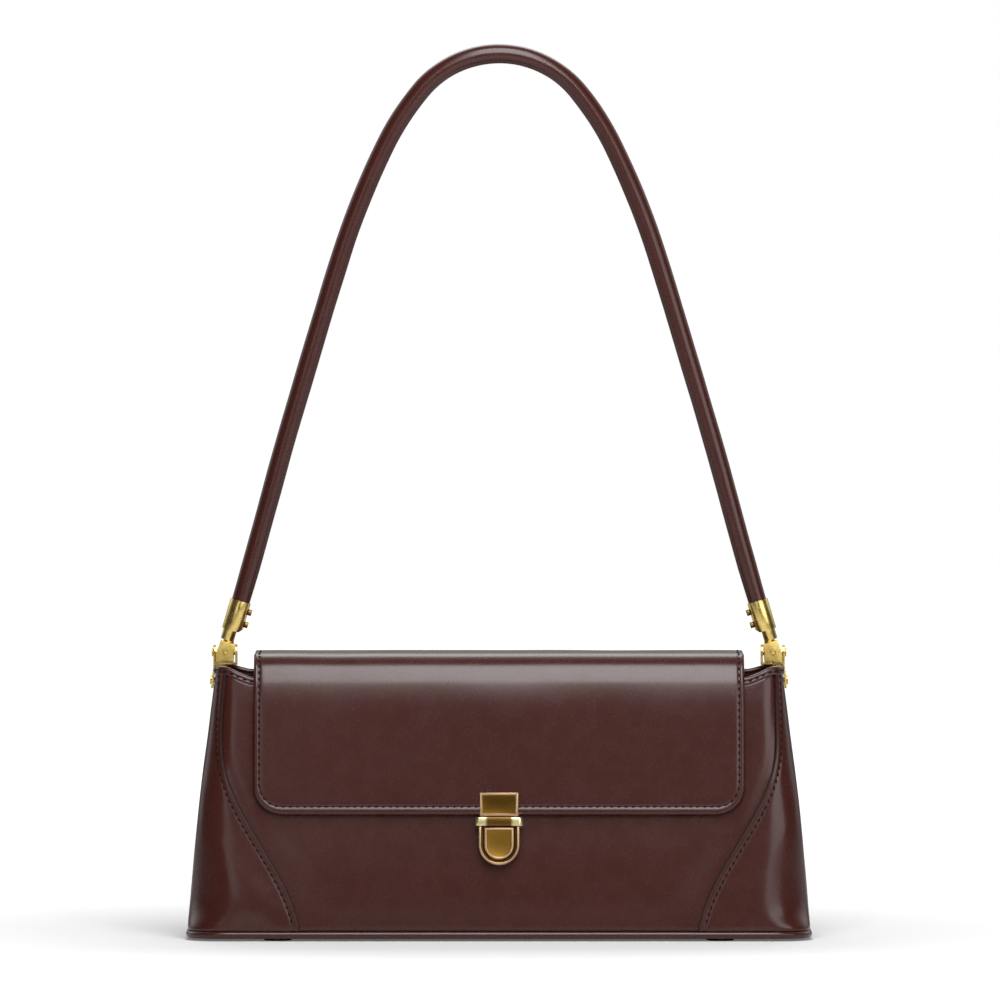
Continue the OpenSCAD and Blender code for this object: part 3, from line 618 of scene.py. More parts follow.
def mesh_step(change):
    """Makes an edit-mode step of a change to the mesh that is being edited."""
    def step():
        mesh = bmesh.from_edit_mesh(bpy.context.object.data)
        change(mesh)
        bmesh.update_edit_mesh(bpy.context.object.data)
    return step


def cut_out(axis, half, low, high):
    """Makes a step that cuts out what is nearer the middle than half and between two heights."""
    @mesh_step
    def cut(mesh):
        centres = [(face, face.calc_center_median()) for face in mesh.faces]
        faces = [face for face, at in centres if abs(at[axis]) < half and low < at.z < high]
        bmesh.ops.delete(mesh, geom=faces, context="FACES")
    return cut


def board_place(column, row):
    middle = half_round(row) / 2
    side, inward = column
    if side:
        u = middle + side * (middle - seam_way(row) - board_start * slant(row) - inward)
    else:
        u = middle + inward
    z = row + lift(row) * (wall_top - panel_rows[-1] - board_top)
    return wall_point(u, z, -gusset_t - board_gap)


board_columns = columns_of(range(0, 13, 2), runs(
    -10 * mm, (-punch_half, 2.5 * mm), (punch_half, 1.6 * mm), (10 * mm, 2.5 * mm)))
for name, node, turn in (("right_end_board", "right_gusset_board", Matrix.Identity(4)),
                         ("left_end_board", "left_gusset_board", half_turn)):
    stiffener = sheet(name, board_columns, panel_rows[2:], board_place)
    stiffener.data.transform(turn)
    edit(stiffener, cut_out(1, punch_half, punch_z - punch_half, punch_z + punch_half))
    thicken(stiffener, board_t, 0)
    smooth(stiffener, 40)
    dress(stiffener, "bag", "board", grey_board, node)

# Stitches of the ends: waxed thread, nearly black. Each stitch dips into its two holes and
# leans a little across the row, as an awl leaves it.
stitch_pitch = 3.0 * mm
stitch_length = 2.35 * mm
stitch_sink = 0.25 * mm
thread_w = 1.0 * mm
end_thread_sunk, thread_sunk = 0.36 * mm, 0.32 * mm
stitch_lean = math.radians(14)


def thread_finish():
    thread = Finish("waxed_thread")
    twist = thread.noise(1, 2, thread.stretched((2600, 2600, 5200)))
    return thread.shader(
        Base_Color=thread.mix(twist, colour(12, 5, 5), colour(24, 10, 9)),
        Roughness=twist * 0.2 + 0.7,
        Normal=thread.relief(twist, 0.0001, 0.6),
        Specular_IOR_Level=0.25,
    )


thread = thread_finish()
deselect()
bpy.ops.mesh.primitive_uv_sphere_add(segments=8, ring_count=8, radius=0.5)
one_stitch = bpy.context.object
for vertex in one_stitch.data.vertices:
    along = vertex.co.z * 2
    fat = thread_w * (1 - 0.35 * along * along)
    sink = stitch_sink * along * along
    vertex.co = Vector((along * stitch_length / 2, vertex.co.x * fat, vertex.co.y * fat - sink))
stitch_mesh = one_stitch.data
bpy.data.objects.remove(one_stitch)


def walk(samples, pitch):
    """Places a pitch apart along a row, each with its way on and the way out of the surface."""
    places, left = [], pitch / 2
    for (start, out), (end, _) in zip(samples, samples[1:]):
        step = (end - start).length
        while left <= step:
            places.append((start.lerp(end, left / step), (end - start).normalized(), out))
            left += pitch
        left -= step
    return places


def copies(name, mesh, matrices):
    """One piece made of as many copies of a mesh."""
    joined = bmesh.new()
    for matrix in matrices:
        joined.from_mesh(mesh)
        joined.verts.ensure_lookup_table()
        fresh = joined.verts[len(joined.verts) - len(mesh.vertices):]
        bmesh.ops.transform(joined, matrix=matrix, verts=fresh)
    made = bpy.data.meshes.new(name)
    joined.to_mesh(made)
    joined.free()
    piece = bpy.data.objects.new(name, made)
    bpy.context.scene.collection.objects.link(piece)
    return piece


def sew(name, body, rows):
    """Rows of stitches as one piece of thread."""
    matrices = []
    for samples in rows:
        for point, on, out in walk(samples, stitch_pitch):
            across = out.cross(on).normalized()
            up = on.cross(across).normalized()
            axes = Matrix((on, across, up)).transposed().to_4x4()
            matrices.append(
                Matrix.Translation(point) @ axes @ Matrix.Rotation(stitch_lean, 4, "Z"))
    piece = copies(name, stitch_mesh, matrices)
    smooth(piece)
    dress(piece, body, "leather", thread)


def samples_of(point_at, values):
    """Points and outward directions where point_at gives a point for a value and a step out."""
    return [
        (point_at(k, 0), (point_at(k, 1 * mm) - point_at(k, 0)).normalized()) for k in values
    ]


def end_row(front_side):
    def on_end(z, out):
        u = seam_way(z) + stitch_in * slant(z)
        if not front_side:
            u = half_round(z) - u
        return wall_point(u, z, out - end_thread_sunk)
    return samples_of(on_end, spread(7 * mm, wall_top + 1 * mm, 1 * mm))


for side, name in ((1, "right"), (-1, "left")):
    rows = [end_row(True), end_row(False)]
    if side < 0:
        rows = [[(half_turn @ p, half_turn.to_3x3() @ n) for p, n in row] for row in rows]
    sew(name + "_end_stitches", "bag", rows)

# Lining: dark woven cloth, folded in under the binding and left a little loose, so that it
# lies in soft folds and is full in the corners.
lining_in = 2.95 * mm
cloth_t = 0.35 * mm
looseness = 1.6 * mm
lining_lift_high = 106 * mm
floor_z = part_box("base_board")[1].z


def cloth_finish():
    cloth = Finish("dark_lining")
    warp, weft = (cloth.add("ShaderNodeTexWave", {"bands_direction": axis},
                            {"Vector": cloth.place(), "Scale": 500, "Distortion": 0.6})
                  for axis in "XZ")
    cloud = cloth.noise(60, 3)
    return cloth.shader(
        Base_Color=cloth.mix(cloud, colour(20, 22, 19), colour(38, 40, 35)),
        Roughness=warp * 0.1 + weft * 0.1 + 0.55,
        Normal=cloth.relief(warp + weft, 0.00008, 0.5),
        Sheen_Weight=0.25,
    )


def turn_over():
    bpy.ops.mesh.flip_normals()


def lining_place(share, row):
    kind, value = row
    if kind == "floor":
        point = wall_point(share * half_round(wall_low), wall_low, -lining_in - min(value, 10 * mm))
        point.z = floor_z + 0.5 * mm + ripple(point, 20 * mm, 0.4 * mm)
        return fold_in(point) if value >= at_middle else point
    u = share * half_round(value)
    at = wall_point(u, value, 0)
    rise = mouth_edge(at.x, at.y) - binding_box.z + mouth_dip
    z = value + rise * ease(value, lift_low, lining_lift_high)
    loose = ease(z, 8 * mm, 20 * mm) * (1 - ease(z, 88 * mm, 102 * mm))
    point = wall_point(u, z, -lining_in)
    folds = noise.noise(Vector((point.x * 55, point.y * 55, z * 16)))
    return wall_point(u, z, -lining_in - loose * (0.5 + 0.5 * folds) * looseness)


lining_rows = [("floor", k * mm) for k in (30, 10, 6, 3, 1)]
lining_rows += [("wall", k * mm) for k in (7.2, 8, 9.5, 12, 16, 21, 27, 34, 42, 50, 58, 66, 74,
                                          82, 89, 95, 100, 104, 107.5)]
lining = sheet("lining_cloth", spread(-1, 1, 2 / 152), lining_rows, lining_place)
edit(lining, join_ends, turn_over)
thicken(lining, cloth_t, 0)
smooth(lining)
dress(lining, "bag", "lining", cloth_finish(), "lining")

# Mouth binding: a strip of the same leather, folded over the edge of all layers and sewn
# through with one row. Between the end panels it lies a little further in.
binding_sunk = 1.25 * mm
binding_row = (0.12, -1.9)
binding_section = [
    (-0.5, -3.6), (-0.05, -3.5), (0.28, -3.15), (0.34, -2.6), (0.24, -2.15), (0.14, -1.9),
    (0.24, -1.65), (0.34, -1.2), (0.22, -0.6), (-0.15, -0.15), (-0.8, 0.05), (-1.5, 0.1),
    (-2.2, 0.05), (-2.85, -0.15), (-3.3, -0.6), (-3.45, -1.2), (-3.35, -1.65), (-3.25, -1.9),
    (-3.35, -2.15), (-3.45, -2.6), (-3.4, -3.15), (-3.1, -3.5), (-2.7, -3.6), (-2.4, -3.0),
    (-1.5, -2.8), (-0.8, -3.0), (-0.5, -3.6),
]


def binding_place(share, row):
    u = share * half_round(binding_box.z)
    at = wall_point(u, binding_box.z, 0)
    sunk = binding_sunk * (1 - ease(abs(at.x), seam_top_x - 2.2 * mm, seam_top_x + 0.2 * mm))
    share_out = ease(row[0], -3.0, -0.5)
    out = (row[0] + 0.1) * mm - sunk * share_out
    return wall_point(u, mouth_edge(at.x, at.y) + row[1] * mm, out)


binding = sheet("mouth_binding_leather", spread(-1, 1, 2 / 264), binding_section, binding_place)
edit(binding, join_ends, face_outwards)
smooth(binding)
dress(binding, "bag", "leather", oxblood, "mouth_binding")


def on_binding(share, out):
    return binding_place(share, (binding_row[0] + out / mm, binding_row[1]))


sew("binding_stitches", "bag", [samples_of(on_binding, spread(-1, 1, 2 / 528))])

# Flap: one piece of leather, sewn to the back with its tail, folded over a roll, and falling
# over the front. Its edges are turned over a second, inner leather and sewn.
hinge = Vector(frame["record"]["behaviour"]["joints"][0]["pos_m"])
flap_box_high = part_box("flap_leather")[1]
flap_half = flap_box_high.x
flap_top = flap_box_high.z - 0.6 * mm
flap_t = 1.25 * mm
rear_fold_r = flap_top - hinge.z
front_fold_r = 14 * mm
lean = math.atan(lean_y)
flap_out = 3.1 * mm
flap_low = 53 * mm
flap_corner_r = 12.5 * mm
front_foot_y = -(half_depth(0) - gusset_t)
tail_h = 24 * mm
tail_out = 0.25 * mm
tail_meets = 4.5 * mm
top_sag, tail_sag = 0.5 * mm, 0.35 * mm
drawn_in = 1.1 * mm
drawn_before, drawn_over = 17 * mm, 21 * mm
drawn_fade, drawn_end = 3 * mm, 20 * mm


def front_point(v, w):
    """The point v up the front's slope and w out of it."""
    return Vector((0, front_foot_y + v * math.sin(lean) - w * math.cos(lean),
                   v * math.cos(lean) + w * math.sin(lean)))


fold_z = flap_top - front_fold_r
fold_w = flap_out - front_fold_r
fold_v = (fold_z - fold_w * math.sin(lean)) / math.cos(lean)
fold_centre = front_point(fold_v, fold_w)
fall_way = fold_v - flap_low
fold_way = front_fold_r * (math.pi / 2 - lean)
top_way = hinge.y - fold_centre.y
rear_turn = math.radians(112)
rear_way = rear_fold_r * rear_turn
tail_start = fall_way + fold_way + top_way + rear_way
flap_way = tail_start + tail_meets + tail_h


def turned(centre, angle, reach):
    """A point at that angle up from the bag's back, that far from a fold's centre."""
    return centre + Vector((0, math.cos(angle), math.sin(angle))) * reach


def back_slope(z, out):
    return Vector((0, half_depth(z) + out, z))


def eased(way):
    """How far the flap is drawn in where its fall bends softly into the fold."""
    share = clamp((way - fall_way + drawn_before) / drawn_over)
    rise = share ** 4 * (3 - 2 * share * share)
    return drawn_in * rise * (1 - ease(way, fall_way + drawn_fade, fall_way + drawn_end))


def flap_section(way, w):
    """A point of the flap's section, that way up from its lower edge, w out of its surface."""
    w -= eased(way)
    if way < fall_way:
        return front_point(flap_low + way, flap_out + w)
    way -= fall_way
    if way < fold_way:
        return turned(fold_centre, math.pi - lean - way / front_fold_r, front_fold_r + w)
    way -= fold_way
    if way < top_way:
        sag = top_sag * math.sin(math.pi * way / top_way) ** 2
        return Vector((0, fold_centre.y + way, flap_top - sag + w))
    way -= top_way
    if way < rear_way:
        return turned(hinge, math.pi / 2 - way / rear_fold_r, rear_fold_r + w)
    way -= rear_way
    start = turned(hinge, math.pi / 2 - rear_turn, rear_fold_r + w)
    joins = back_slope(start.z - tail_meets, tail_out + w)
    if way < tail_meets:
        share = way / tail_meets
        straight = start.lerp(joins, share)
        straight.y -= tail_sag * math.sin(math.pi * share)
        return straight
    return back_slope(joins.z - (way - tail_meets), tail_out + w)


def flap_cell(column, low_in):
    """A cell's place across and way up, how near the edge it is, and how far that is the lower
    edge. In a rounded lower corner a cell keeps its distance from the edge."""
    side, inward = column
    side_in = inward if side else flap_half - abs(inward)
    side = side or math.copysign(1, inward)
    r = flap_corner_r
    near, far = min(side_in, low_in), max(side_in, low_in)
    share = 1.0 if low_in < side_in else 0.0
    if far < r:
        share = (r - far) / (r - near) / 2
        angle = share * math.pi / 2
        along, across = r - (r - near) * math.cos(angle), r - (r - near) * math.sin(angle)
        if side_in <= low_in:
            side_in, low_in = along, across
        else:
            side_in, low_in, share = across, along, 1 - share
    return side * (flap_half - side_in), low_in, near, share


side_row, low_row = 2.4 * mm, 3.5 * mm
side_crest, low_crest = 0.02 * mm, 0.09 * mm
flap_edge_r = 1.1 * mm


def flap_place(column, way):
    x, mapped_way, near, share = flap_cell(column, way)
    tail_near = flap_way - way
    if tail_near < near:
        near, share = tail_near, 0.0
    row_in = side_row + (low_row - side_row) * share
    w = edge_relief(near, row_in, flap_edge_r, side_crest + (low_crest - side_crest) * share)
    soft = ease(near, row_in, 16 * mm)
    w += soft * ripple(Vector((x, way, 0)), 30 * mm, 0.22 * mm)
    point = flap_section(mapped_way, w)
    point.x = x
    return point


flap_near = [0.0, 0.2, 0.5, 0.9, 1.3, 1.7, 2.1, 2.4, 2.75, 3.2, 4.0, 5.6, 7.6, 10.0]
flap_flat_half = flap_half - flap_corner_r
flap_columns = columns_of(flap_near, spread(-flap_flat_half, flap_flat_half, 4 * mm))
low_near = [0.0, 0.2, 0.5, 0.9, 1.3, 1.8, 2.4, 3.0, 3.5, 3.9, 4.4, 5.2, 6.6, 8.4, 10.4]
flap_rows = [k * mm for k in low_near] + runs(
    flap_corner_r, (fall_way, 4 * mm), (fall_way + fold_way, 1.3 * mm),
    (tail_start - rear_way, 3 * mm), (tail_start, 0.6 * mm), (tail_start + tail_meets, 0.9 * mm),
    (flap_way - 4 * mm, 2.5 * mm))
flap_rows += [flap_way - k * mm for k in reversed(flap_near[:10])]

flap = sheet("flap_leather_piece", flap_columns, flap_rows, flap_place)
thicken(flap, flap_t)
smooth(flap)
dress(flap, "fold", "leather", oxblood, "flap_leather", "flap_tail")


def on_flap(at, out):
    x, way = at
    point = flap_section(way, out - thread_sunk)
    point.x = x
    return point


def edge_row():
    """The stitches' row along both sides and the lower edge, from tail to tail."""
    r, high = flap_corner_r, flap_way - 3 * mm
    right = [(flap_half - side_row, high - k) for k in spread(0, high - r, 1.2 * mm)]
    for turn in (math.radians(k) for k in spread(0, 90, 6)[1:]):
        reach = r - side_row - (low_row - side_row) * turn / (math.pi / 2)
        right.append((flap_half - r + reach * math.cos(turn), r - reach * math.sin(turn)))
    right += [(x, low_row) for x in spread(flap_half - r, 0, 1.2 * mm)[1:]]
    return right + [(-x, way) for x, way in reversed(right[:-1])]


tail_row_half = flap_half - 5 * mm
tail_row = [(x, flap_way - side_row) for x in spread(-tail_row_half, tail_row_half, 2 * mm)]
sew("flap_stitches", "fold", [samples_of(on_flap, edge_row()), samples_of(on_flap, tail_row)])

# Flap's inner leather: a second layer from behind the fold to the lower edge, cut out round
# the lock's small plate.
inner_low_w, inner_t = -2.6 * mm, 1.15 * mm
inner_inset = 0.35 * mm
window_fit = 0.3 * mm
window_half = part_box("lock_flap_backplate")[1].x + window_fit
window_low, window_high = 1.15 * mm, 8.55 * mm


def inner_place(column, way):
    x, mapped_way, near, _ = flap_cell(column, way)
    w = inner_low_w + rounded(near, 0.6 * mm, 0.5 * mm)
    mapped_way = max(inner_inset, mapped_way)
    point = flap_section(mapped_way, w + eased(mapped_way))
    point.x = x - math.copysign(inner_inset * max(0, 1 - near / (3 * mm)), x)
    return point


inner_columns = columns_of(flap_near, runs(
    -flap_flat_half, *((stop, 4 * mm) for stop in (-window_half, window_half, flap_flat_half))))
inner_rows = [0.0, 0.35 * mm, 0.7 * mm]
inner_rows += spread(window_low, window_high, 2.4 * mm) + [10.5 * mm]
inner_rows += [k for k in flap_rows if 12 * mm < k < fall_way + fold_way + top_way - 3 * mm]

inner = sheet("flap_inner_leather", inner_columns, inner_rows, inner_place)
window_heights = [front_point(flap_low + edge, 0).z for edge in (window_low, window_high)]
edit(inner, turn_over, cut_out(0, window_half, *window_heights))
thicken(inner, inner_t)
smooth(inner)
dress(inner, "flap", "leather", oxblood, "flap_lining")

# Fold roll: a strip of leather rolled up tight and sewn into the tail. It keeps the fold
# round, and the flap turns on it.
roll_r = 1.6 * mm
roll_pitch = 0.55 * mm
roll_t = 0.24 * mm


def roll_place(x, turn):
    reach = roll_r - roll_pitch * (turn / (2 * math.pi)) / 2
    reach *= 1 if abs(x) < flap_half - 0.6 * mm else 0.86
    return turned(Vector((x, hinge.y, hinge.z)), turn, reach)


roll_ends = [flap_half - k * mm for k in (0.4, 0.7, 1.2)]
roll_columns = [-k for k in roll_ends] + spread(-roll_ends[2], roll_ends[2], 6 * mm)[1:-1]
roll_columns += reversed(roll_ends)
roll = sheet("fold_roll", roll_columns, spread(0, 6 * math.pi, math.pi / 10), roll_place)
thicken(roll, roll_t)
smooth(roll)
dress(roll, "bag", "leather", oxblood)

# Lock: stamped and turned brass on the front, in four visible parts. The plate on the flap has
# a tongue that goes into the bright mouth band. A darkened case round the push button hangs
# below the band, and rivets hold it to a washer inside.
gold = metal_finish("pale_gold_plate", colour(226, 192, 106), colour(244, 218, 140), 0.25)
steel = metal_finish("stamped_steel", colour(120, 121, 122), colour(176, 177, 178), 0.36)


def proud(w):
    """Gives the mask that is 1 on what stands more than w out of the bag's front."""
    foot = front_point(0, w)
    level = foot.z * math.sin(lean) - foot.y * math.cos(lean)

    def mask(metal):
        out = metal.along("Z") * math.sin(lean) - metal.along("Y") * math.cos(lean) - level
        scratch = metal.noise(600, 3)
        return metal.step(out + scratch * (0.16 * mm), -0.05 * mm, 0.2 * mm)
    return mask


def ends_of_band(metal):
    """A mask that is 1 at the band's two ends, where fingers keep the plating bright."""
    return metal.step(metal.maths("ABSOLUTE", metal.along("X")), 4.6 * mm, 6.4 * mm)


bright_brass = colour(204, 168, 128)
for node, name, tones, roughness, worn in (
    ("lock_flap_plate", "lock_plate_brass", (colour(102, 74, 28), bright_brass), 0.32,
     proud(4.3 * mm)),
    ("lock_case", "lock_case_brass", (colour(70, 48, 20), bright_brass), 0.32, proud(4.5 * mm)),
    ("lock_button", "lock_button_brass", (colour(140, 105, 42), bright_brass), 0.36,
     proud(4.5 * mm)),
    ("lock_mouth_band", "lock_band_plate", (colour(120, 88, 44), colour(250, 236, 180)), 0.3,
     ends_of_band),
):
    refinish(metal_finish(name, *tones, roughness, worn), node)
refinish(steel, "lock_base_plate", "lock_flap_backplate", "lock_flap_rivets",
         "lock_base_rivets", "lock_washer", "lock_spring")
soften(0.28 * mm, "lock_flap_plate", "lock_case", "lock_button", "lock_flap_backplate",
       "lock_washer")
soften(0.6 * mm, "lock_mouth_band")
soften(0.12 * mm, "lock_base_plate", "lock_flap_rivets", "lock_base_rivets")

# Handle: a strap of the same leather rolled round a cord, closed along its inner side by a
# butted seam. It arches from one side clip to the other.
strap_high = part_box("strap")[1]
strap_r = 3.8 * mm
crown_turn, shoulder_turn, arm_turn = (math.radians(k) for k in (50, 65, 73.4))
shoulder_r, arm_r = 110 * mm, 330 * mm
pivot = Vector(frame["record"]["behaviour"]["joints"][1]["pos_m"])
pivot.x = 115.5 * mm
strap_end = 12.6 * mm
crown_z = strap_high.z - strap_r
leg_lean = math.pi / 2 - arm_turn
arm_bow = 1.3 * mm
arm_swell = 0.2 * mm
lip_h, strap_seam_h, strap_groove_h = 0.22 * mm, 0.75 * mm, 0.22 * mm
strap_row_angle = 150
strap_row_sunk = 0.2 * mm
reach_x = pivot.x - shoulder_r * (math.sin(shoulder_turn) - math.sin(crown_turn))
reach_x -= arm_r * (math.sin(arm_turn) - math.sin(shoulder_turn))
reach_z = crown_z - pivot.z - shoulder_r * (math.cos(crown_turn) - math.cos(shoulder_turn))
reach_z -= arm_r * (math.cos(shoulder_turn) - math.cos(arm_turn))
reach_det = math.sin(crown_turn) * math.sin(arm_turn)
reach_det -= math.cos(arm_turn) * (1 - math.cos(crown_turn))
crown_r = (reach_x * math.sin(arm_turn) - math.cos(arm_turn) * reach_z) / reach_det
shoulder_centre = Vector((0, 0, crown_z - crown_r)) + (crown_r - shoulder_r) * Vector(
    (math.sin(crown_turn), 0, math.cos(crown_turn)))
arm_centre = shoulder_centre + (shoulder_r - arm_r) * Vector(
    (math.sin(shoulder_turn), 0, math.cos(shoulder_turn)))
leg_foot = pivot + strap_end * Vector((-math.sin(leg_lean), 0, math.cos(leg_lean)))


def arch(turn):
    """The strap's middle line by its turn from the crown, and past the last arc down the leg.
    The arms bow out a little more than true arcs."""
    size = abs(turn)
    side = math.copysign(1, turn)
    capped = min(size, arm_turn)
    away = Vector((math.sin(capped), 0, math.cos(capped)))
    if size <= crown_turn:
        point = Vector((0, 0, crown_z - crown_r)) + crown_r * away
    elif size <= shoulder_turn:
        point = shoulder_centre + shoulder_r * away
    else:
        point = arm_centre + arm_r * away
        if size > arm_turn:
            point = point.lerp(leg_foot, size - arm_turn)
    bow = arm_bow * ease(point.z, leg_foot.z + 12 * mm, leg_foot.z + 90 * mm)
    bow *= 1 - ease(point.z, crown_z - 110 * mm, crown_z - 20 * mm)
    point += away * bow
    return Vector((point.x * side, 0, point.z)), Vector((away.x * side, 0, away.z))


strap_turns = [arm_turn + k for k in [1, 0.999, 0.97] + spread(0.94, 0, 0.05)]
strap_turns += runs(arm_turn, (shoulder_turn, math.radians(0.9)), (crown_turn, math.radians(2)),
                    (0, math.radians(2.5)))[1:]
strap_turns += [-k for k in reversed(strap_turns[:-1])]
strap_angles = [180, 176.5, 172, 166, 158, 148] + spread(135, 0, 15)
strap_angles += [-k for k in reversed(strap_angles[:-1])]


def strap_side(away, angle):
    """The way out of the strap's side at that angle in degrees round from its outer side."""
    return away * math.cos(math.radians(angle)) + Vector((0, math.sin(math.radians(angle)), 0))


def strap_place(angle, turn):
    point, away = arch(turn)
    inner = 180 - abs(angle)
    reach = strap_r + lip_h * bump(inner, 13, 7) - strap_seam_h * bump(inner, 0, 4)
    reach -= strap_groove_h * bump(inner, 180 - strap_row_angle, 7)
    reach += arm_swell * ease(point.z, leg_foot.z + 11 * mm, leg_foot.z + 30 * mm)
    closed = 0.0 if abs(turn) > arm_turn + 0.9995 else 1.0
    out = strap_side(away, angle)
    place = point + out * reach * closed
    return place + out * closed * ripple(place, 18 * mm, 0.12 * mm)


strap = sheet("strap_leather", strap_angles, strap_turns, strap_place)
edit(strap, join_ends, face_outwards)
smooth(strap)
dress(strap, "handle", "leather", oxblood, "strap")


def on_strap(turn, out):
    point, away = arch(turn)
    return point + strap_side(away, strap_row_angle) * (strap_r - strap_row_sunk + out)


sew("strap_stitches", "handle", [samples_of(on_strap, strap_turns[3:-3])])


def cord_finish():
    cord = Finish("filler_cord")
    twist = cord.noise(1, 3, cord.stretched((400, 400, 120)))
    return cord.shader(
        Base_Color=cord.mix(twist, colour(150, 138, 116), colour(186, 174, 150)),
        Roughness=twist * 0.1 + 0.8,
        Normal=cord.relief(twist, 0.0003, 0.5),
    )


refinish(cord_finish(), "strap_core")

# Ferrules, knuckles and side clips: plated brass. A ferrule grips each end of the strap with
# two screws, its stem goes into a knuckle, and the knuckle turns on a pin between the cheeks
# of a clip riveted to the end panel.
refinish(gold, "left_ferrule", "right_ferrule", "pivot_pins", "left_side_clip",
         "right_side_clip", "clip_rivets")
refinish(antique, "ferrule_screws")
satin_gold = metal_finish("satin_gold_plate", colour(214, 184, 100), colour(234, 206, 124), 0.42)
refinish(satin_gold, "pin_set_screws")
soften(0.35 * mm, "left_ferrule", "right_ferrule")

knuckle_r = 4.1 * mm
knuckle_top = 4.35 * mm
knuckle_shoulder = -0.6 * mm
knuckle_inner = (-3.5 * mm, -3.9 * mm)
knuckle_outer = (3.95 * mm, 1.9 * mm)
screw_low, screw_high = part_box("pin_set_screws")
screw_r = (screw_high.z - screw_low.z) / 2
screw_fit = 0.14 * mm


def knuckle_face(ends, z):
    """Where a side face of the knuckle is at height z over the pin."""
    share = max(0, (z - knuckle_shoulder) / (knuckle_top - knuckle_shoulder))
    return ends[0] + (ends[1] - ends[0]) * share


@mesh_step
def square_up(mesh):
    """Squares the top, and the lower front too, which swings up and away from the clip."""
    for vertex in mesh.verts:
        if vertex.co.z > 0.1 * mm:
            vertex.co.z = knuckle_top
            if abs(vertex.co.y) > knuckle_r - 0.1 * mm:
                vertex.co.y = math.copysign(knuckle_r, vertex.co.y)
        elif vertex.co.y < 0:
            vertex.co.yz = vertex.co.yz * (knuckle_r / max(-vertex.co.y, -vertex.co.z))


def bore_for_screw(block, x):
    """Opens the knuckle's front round the set screw that holds its pin."""
    deselect()
    bpy.ops.mesh.primitive_cylinder_add(
        vertices=32, radius=screw_r + screw_fit, depth=knuckle_r,
        location=(x, -knuckle_r - 0.1 * mm, pivot.z), rotation=(math.pi / 2, 0, 0))
    cutter = bpy.context.object
    modify(block, "BOOLEAN", operation="DIFFERENCE", object=cutter, solver="EXACT")
    bpy.data.objects.remove(cutter)
    modify(block, "BEVEL", width=0.12 * mm, segments=2, angle_limit=math.radians(40))


for side, name in ((1, "right_knuckle"), (-1, "left_knuckle")):
    deselect()
    bpy.ops.mesh.primitive_cylinder_add(vertices=48, radius=knuckle_r, depth=2 * knuckle_r)
    block = bpy.context.object
    block.name = block.data.name = name + "_block"
    block.data.transform(Matrix.Rotation(math.pi / 2, 4, "Y"))
    edit(block, square_up)
    modify(block, "BEVEL", width=0.5 * mm, segments=4, angle_limit=math.radians(30))
    for vertex in block.data.vertices:
        x, z = vertex.co.x, vertex.co.z
        share = (x + knuckle_r) / (2 * knuckle_r)
        low, high = knuckle_face(knuckle_inner, z), knuckle_face(knuckle_outer, z)
        x = low + share * (high - low)
        if z > 0:
            z *= (knuckle_top + x * math.sin(leg_lean)) / math.cos(leg_lean) / knuckle_top
        vertex.co = Vector((side * (pivot.x + x), vertex.co.y, pivot.z + z))
    edit(block, face_outwards)
    bore_for_screw(block, side * pivot.x)
    smooth(block, 35)
    dress(block, "handle", "gold_metal", satin_gold, name)
soften(0.2 * mm, "pivot_pins", "left_side_clip", "right_side_clip", "clip_rivets",
       "ferrule_screws", "pin_set_screws")

# Studio: a pale floor that glows for the camera, faintly near the bag and fully far off, which
# leaves a painted shade round the bag besides its real shadow; a wide soft light in front and
# above, and softer ones at the sides. The background is white, and what the gloss mirrors from
# behind the camera is dimmer.
deselect()
bpy.ops.mesh.primitive_plane_add(size=8)
floor = bpy.context.object
floor.name = "floor"
pale = Finish("pale_floor")
far = pale.add("ShaderNodeVectorMath", {"operation": "LENGTH"}, {0: pale.place()}, out="Value")
# Painted glow on the floor, seen by the camera only: weak near the bag, so a painted shade lies
# round it, and full far off, so the floor turns white there.
glow = 0.12 + pale.step(far, 0.08, 0.38) * 0.34 + pale.step(far, 0.45, 1.4) * 0.54
floor.data.materials.append(pale.shader(
    Base_Color=(0.8, 0.8, 0.8, 1),
    Roughness=0.8,
    Specular_IOR_Level=0.1,
    Emission_Color=pale.mix(pale.ray("Camera") * glow, (0, 0, 0, 1), (1, 1, 1, 1)),
    Emission_Strength=1.0,
))


lamp_aim = Vector((0, 0, 0.09))


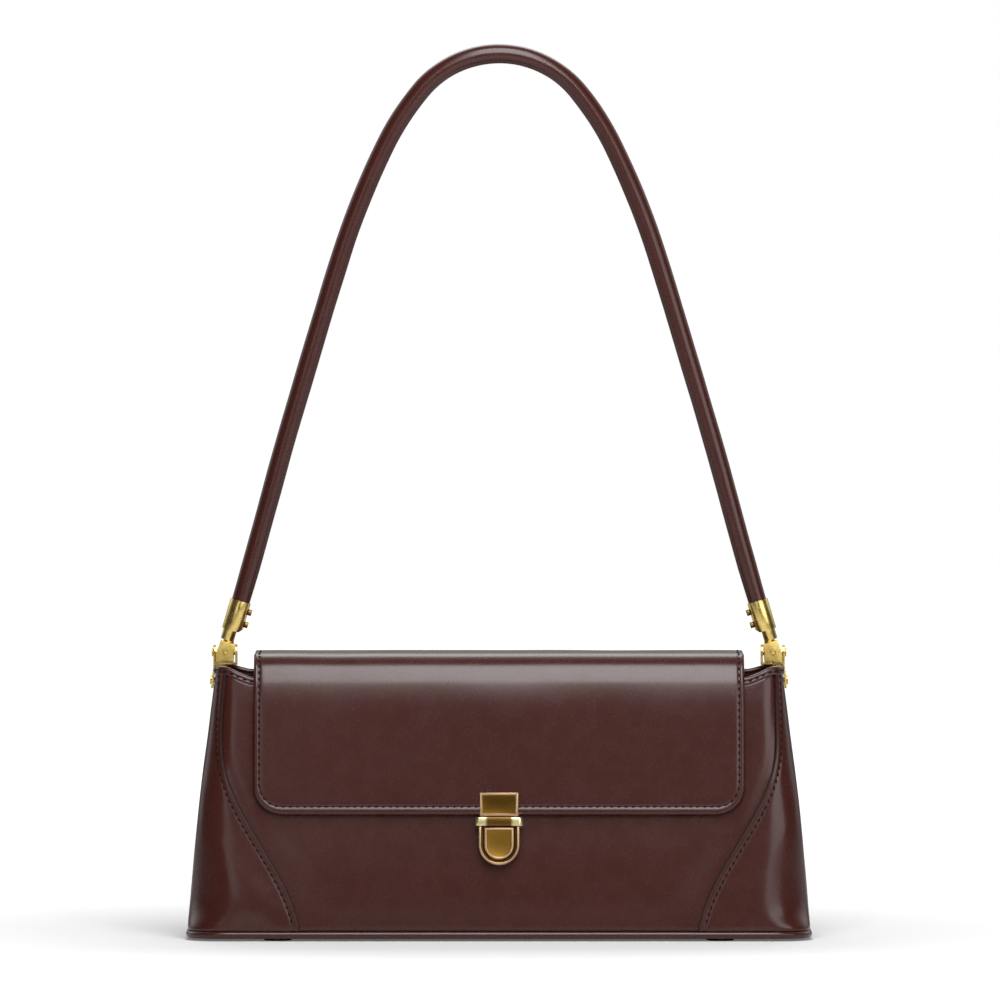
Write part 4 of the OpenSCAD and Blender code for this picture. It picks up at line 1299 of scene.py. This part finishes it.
def lamp(name, azimuth, height, away, width, tall, power):
    """A softbox seen from the bag at that azimuth from the front and that height in degrees,
    that far away, that wide and tall in metres, and of that power in watts."""
    turn, up = math.radians(azimuth), math.radians(height)
    place = lamp_aim + away * Vector(
        (math.sin(turn) * math.cos(up), -math.cos(turn) * math.cos(up), math.sin(up)))
    bpy.ops.object.light_add(type="AREA", location=place)
    light = bpy.context.object
    light.name = name
    light.data.shape = "RECTANGLE"
    light.data.size, light.data.size_y = width, tall
    light.data.energy = power
    light.rotation_euler = (lamp_aim - place).to_track_quat("-Z", "Y").to_euler()


for softbox in (
    ("front_softbox", 5, 50, 1.1, 0.5, 0.95, 11),
    ("left_softbox", -18, 12, 1.3, 0.4, 0.3, 0.5),
    ("right_softbox", 36, 14, 1.3, 0.9, 0.4, 3.0),
    ("left_side_softbox", -125, 15, 1.2, 0.6, 0.7, 0.7),
    ("right_side_softbox", 125, 15, 1.2, 0.6, 0.7, 0.5),
    ("back_softbox", 180, 50, 1.2, 1.0, 0.5, 4),
):
    lamp(*softbox)

world = bpy.data.worlds.new("studio")
bpy.context.scene.world = world
sky = Finish(world)
seen = sky.maths("MAXIMUM", sky.ray("Camera"), sky.ray("Transmission"))
glossy = sky.ray("Glossy")
way = sky.place("Generated")
behind = sky.step(sky.along("Y", way), -0.2, 0.7)
above = sky.step(sky.along("Z", way), 0.08, 0.4)
mirrored = behind * (above * 0.75 + 0.06) + 0.06
strength = (1 - seen) * (glossy * mirrored + (1 - glossy) * 0.14) + seen
background = sky.add("ShaderNodeBackground", values={"Color": (1, 1, 1, 1), "Strength": strength})
sky.add("ShaderNodeOutputWorld", values={"Surface": background})

view_away, view_width = 6.0, 0.422
view_height = math.radians(1.5)
view_aim = Vector((0.0004, 0, 0.1845))
film_width = 36
bpy.ops.object.camera_add()
camera = bpy.context.object
camera.location = view_aim + view_away * Vector((0, -math.cos(view_height), math.sin(view_height)))
camera.rotation_euler = (view_aim - camera.location).to_track_quat("-Z", "Y").to_euler()
camera.data.sensor_width = film_width
camera.data.lens = film_width * view_away / view_width
camera.data.clip_start = 0.1
bpy.context.scene.camera = camera
bpy.context.scene.view_settings.view_transform = "Standard"
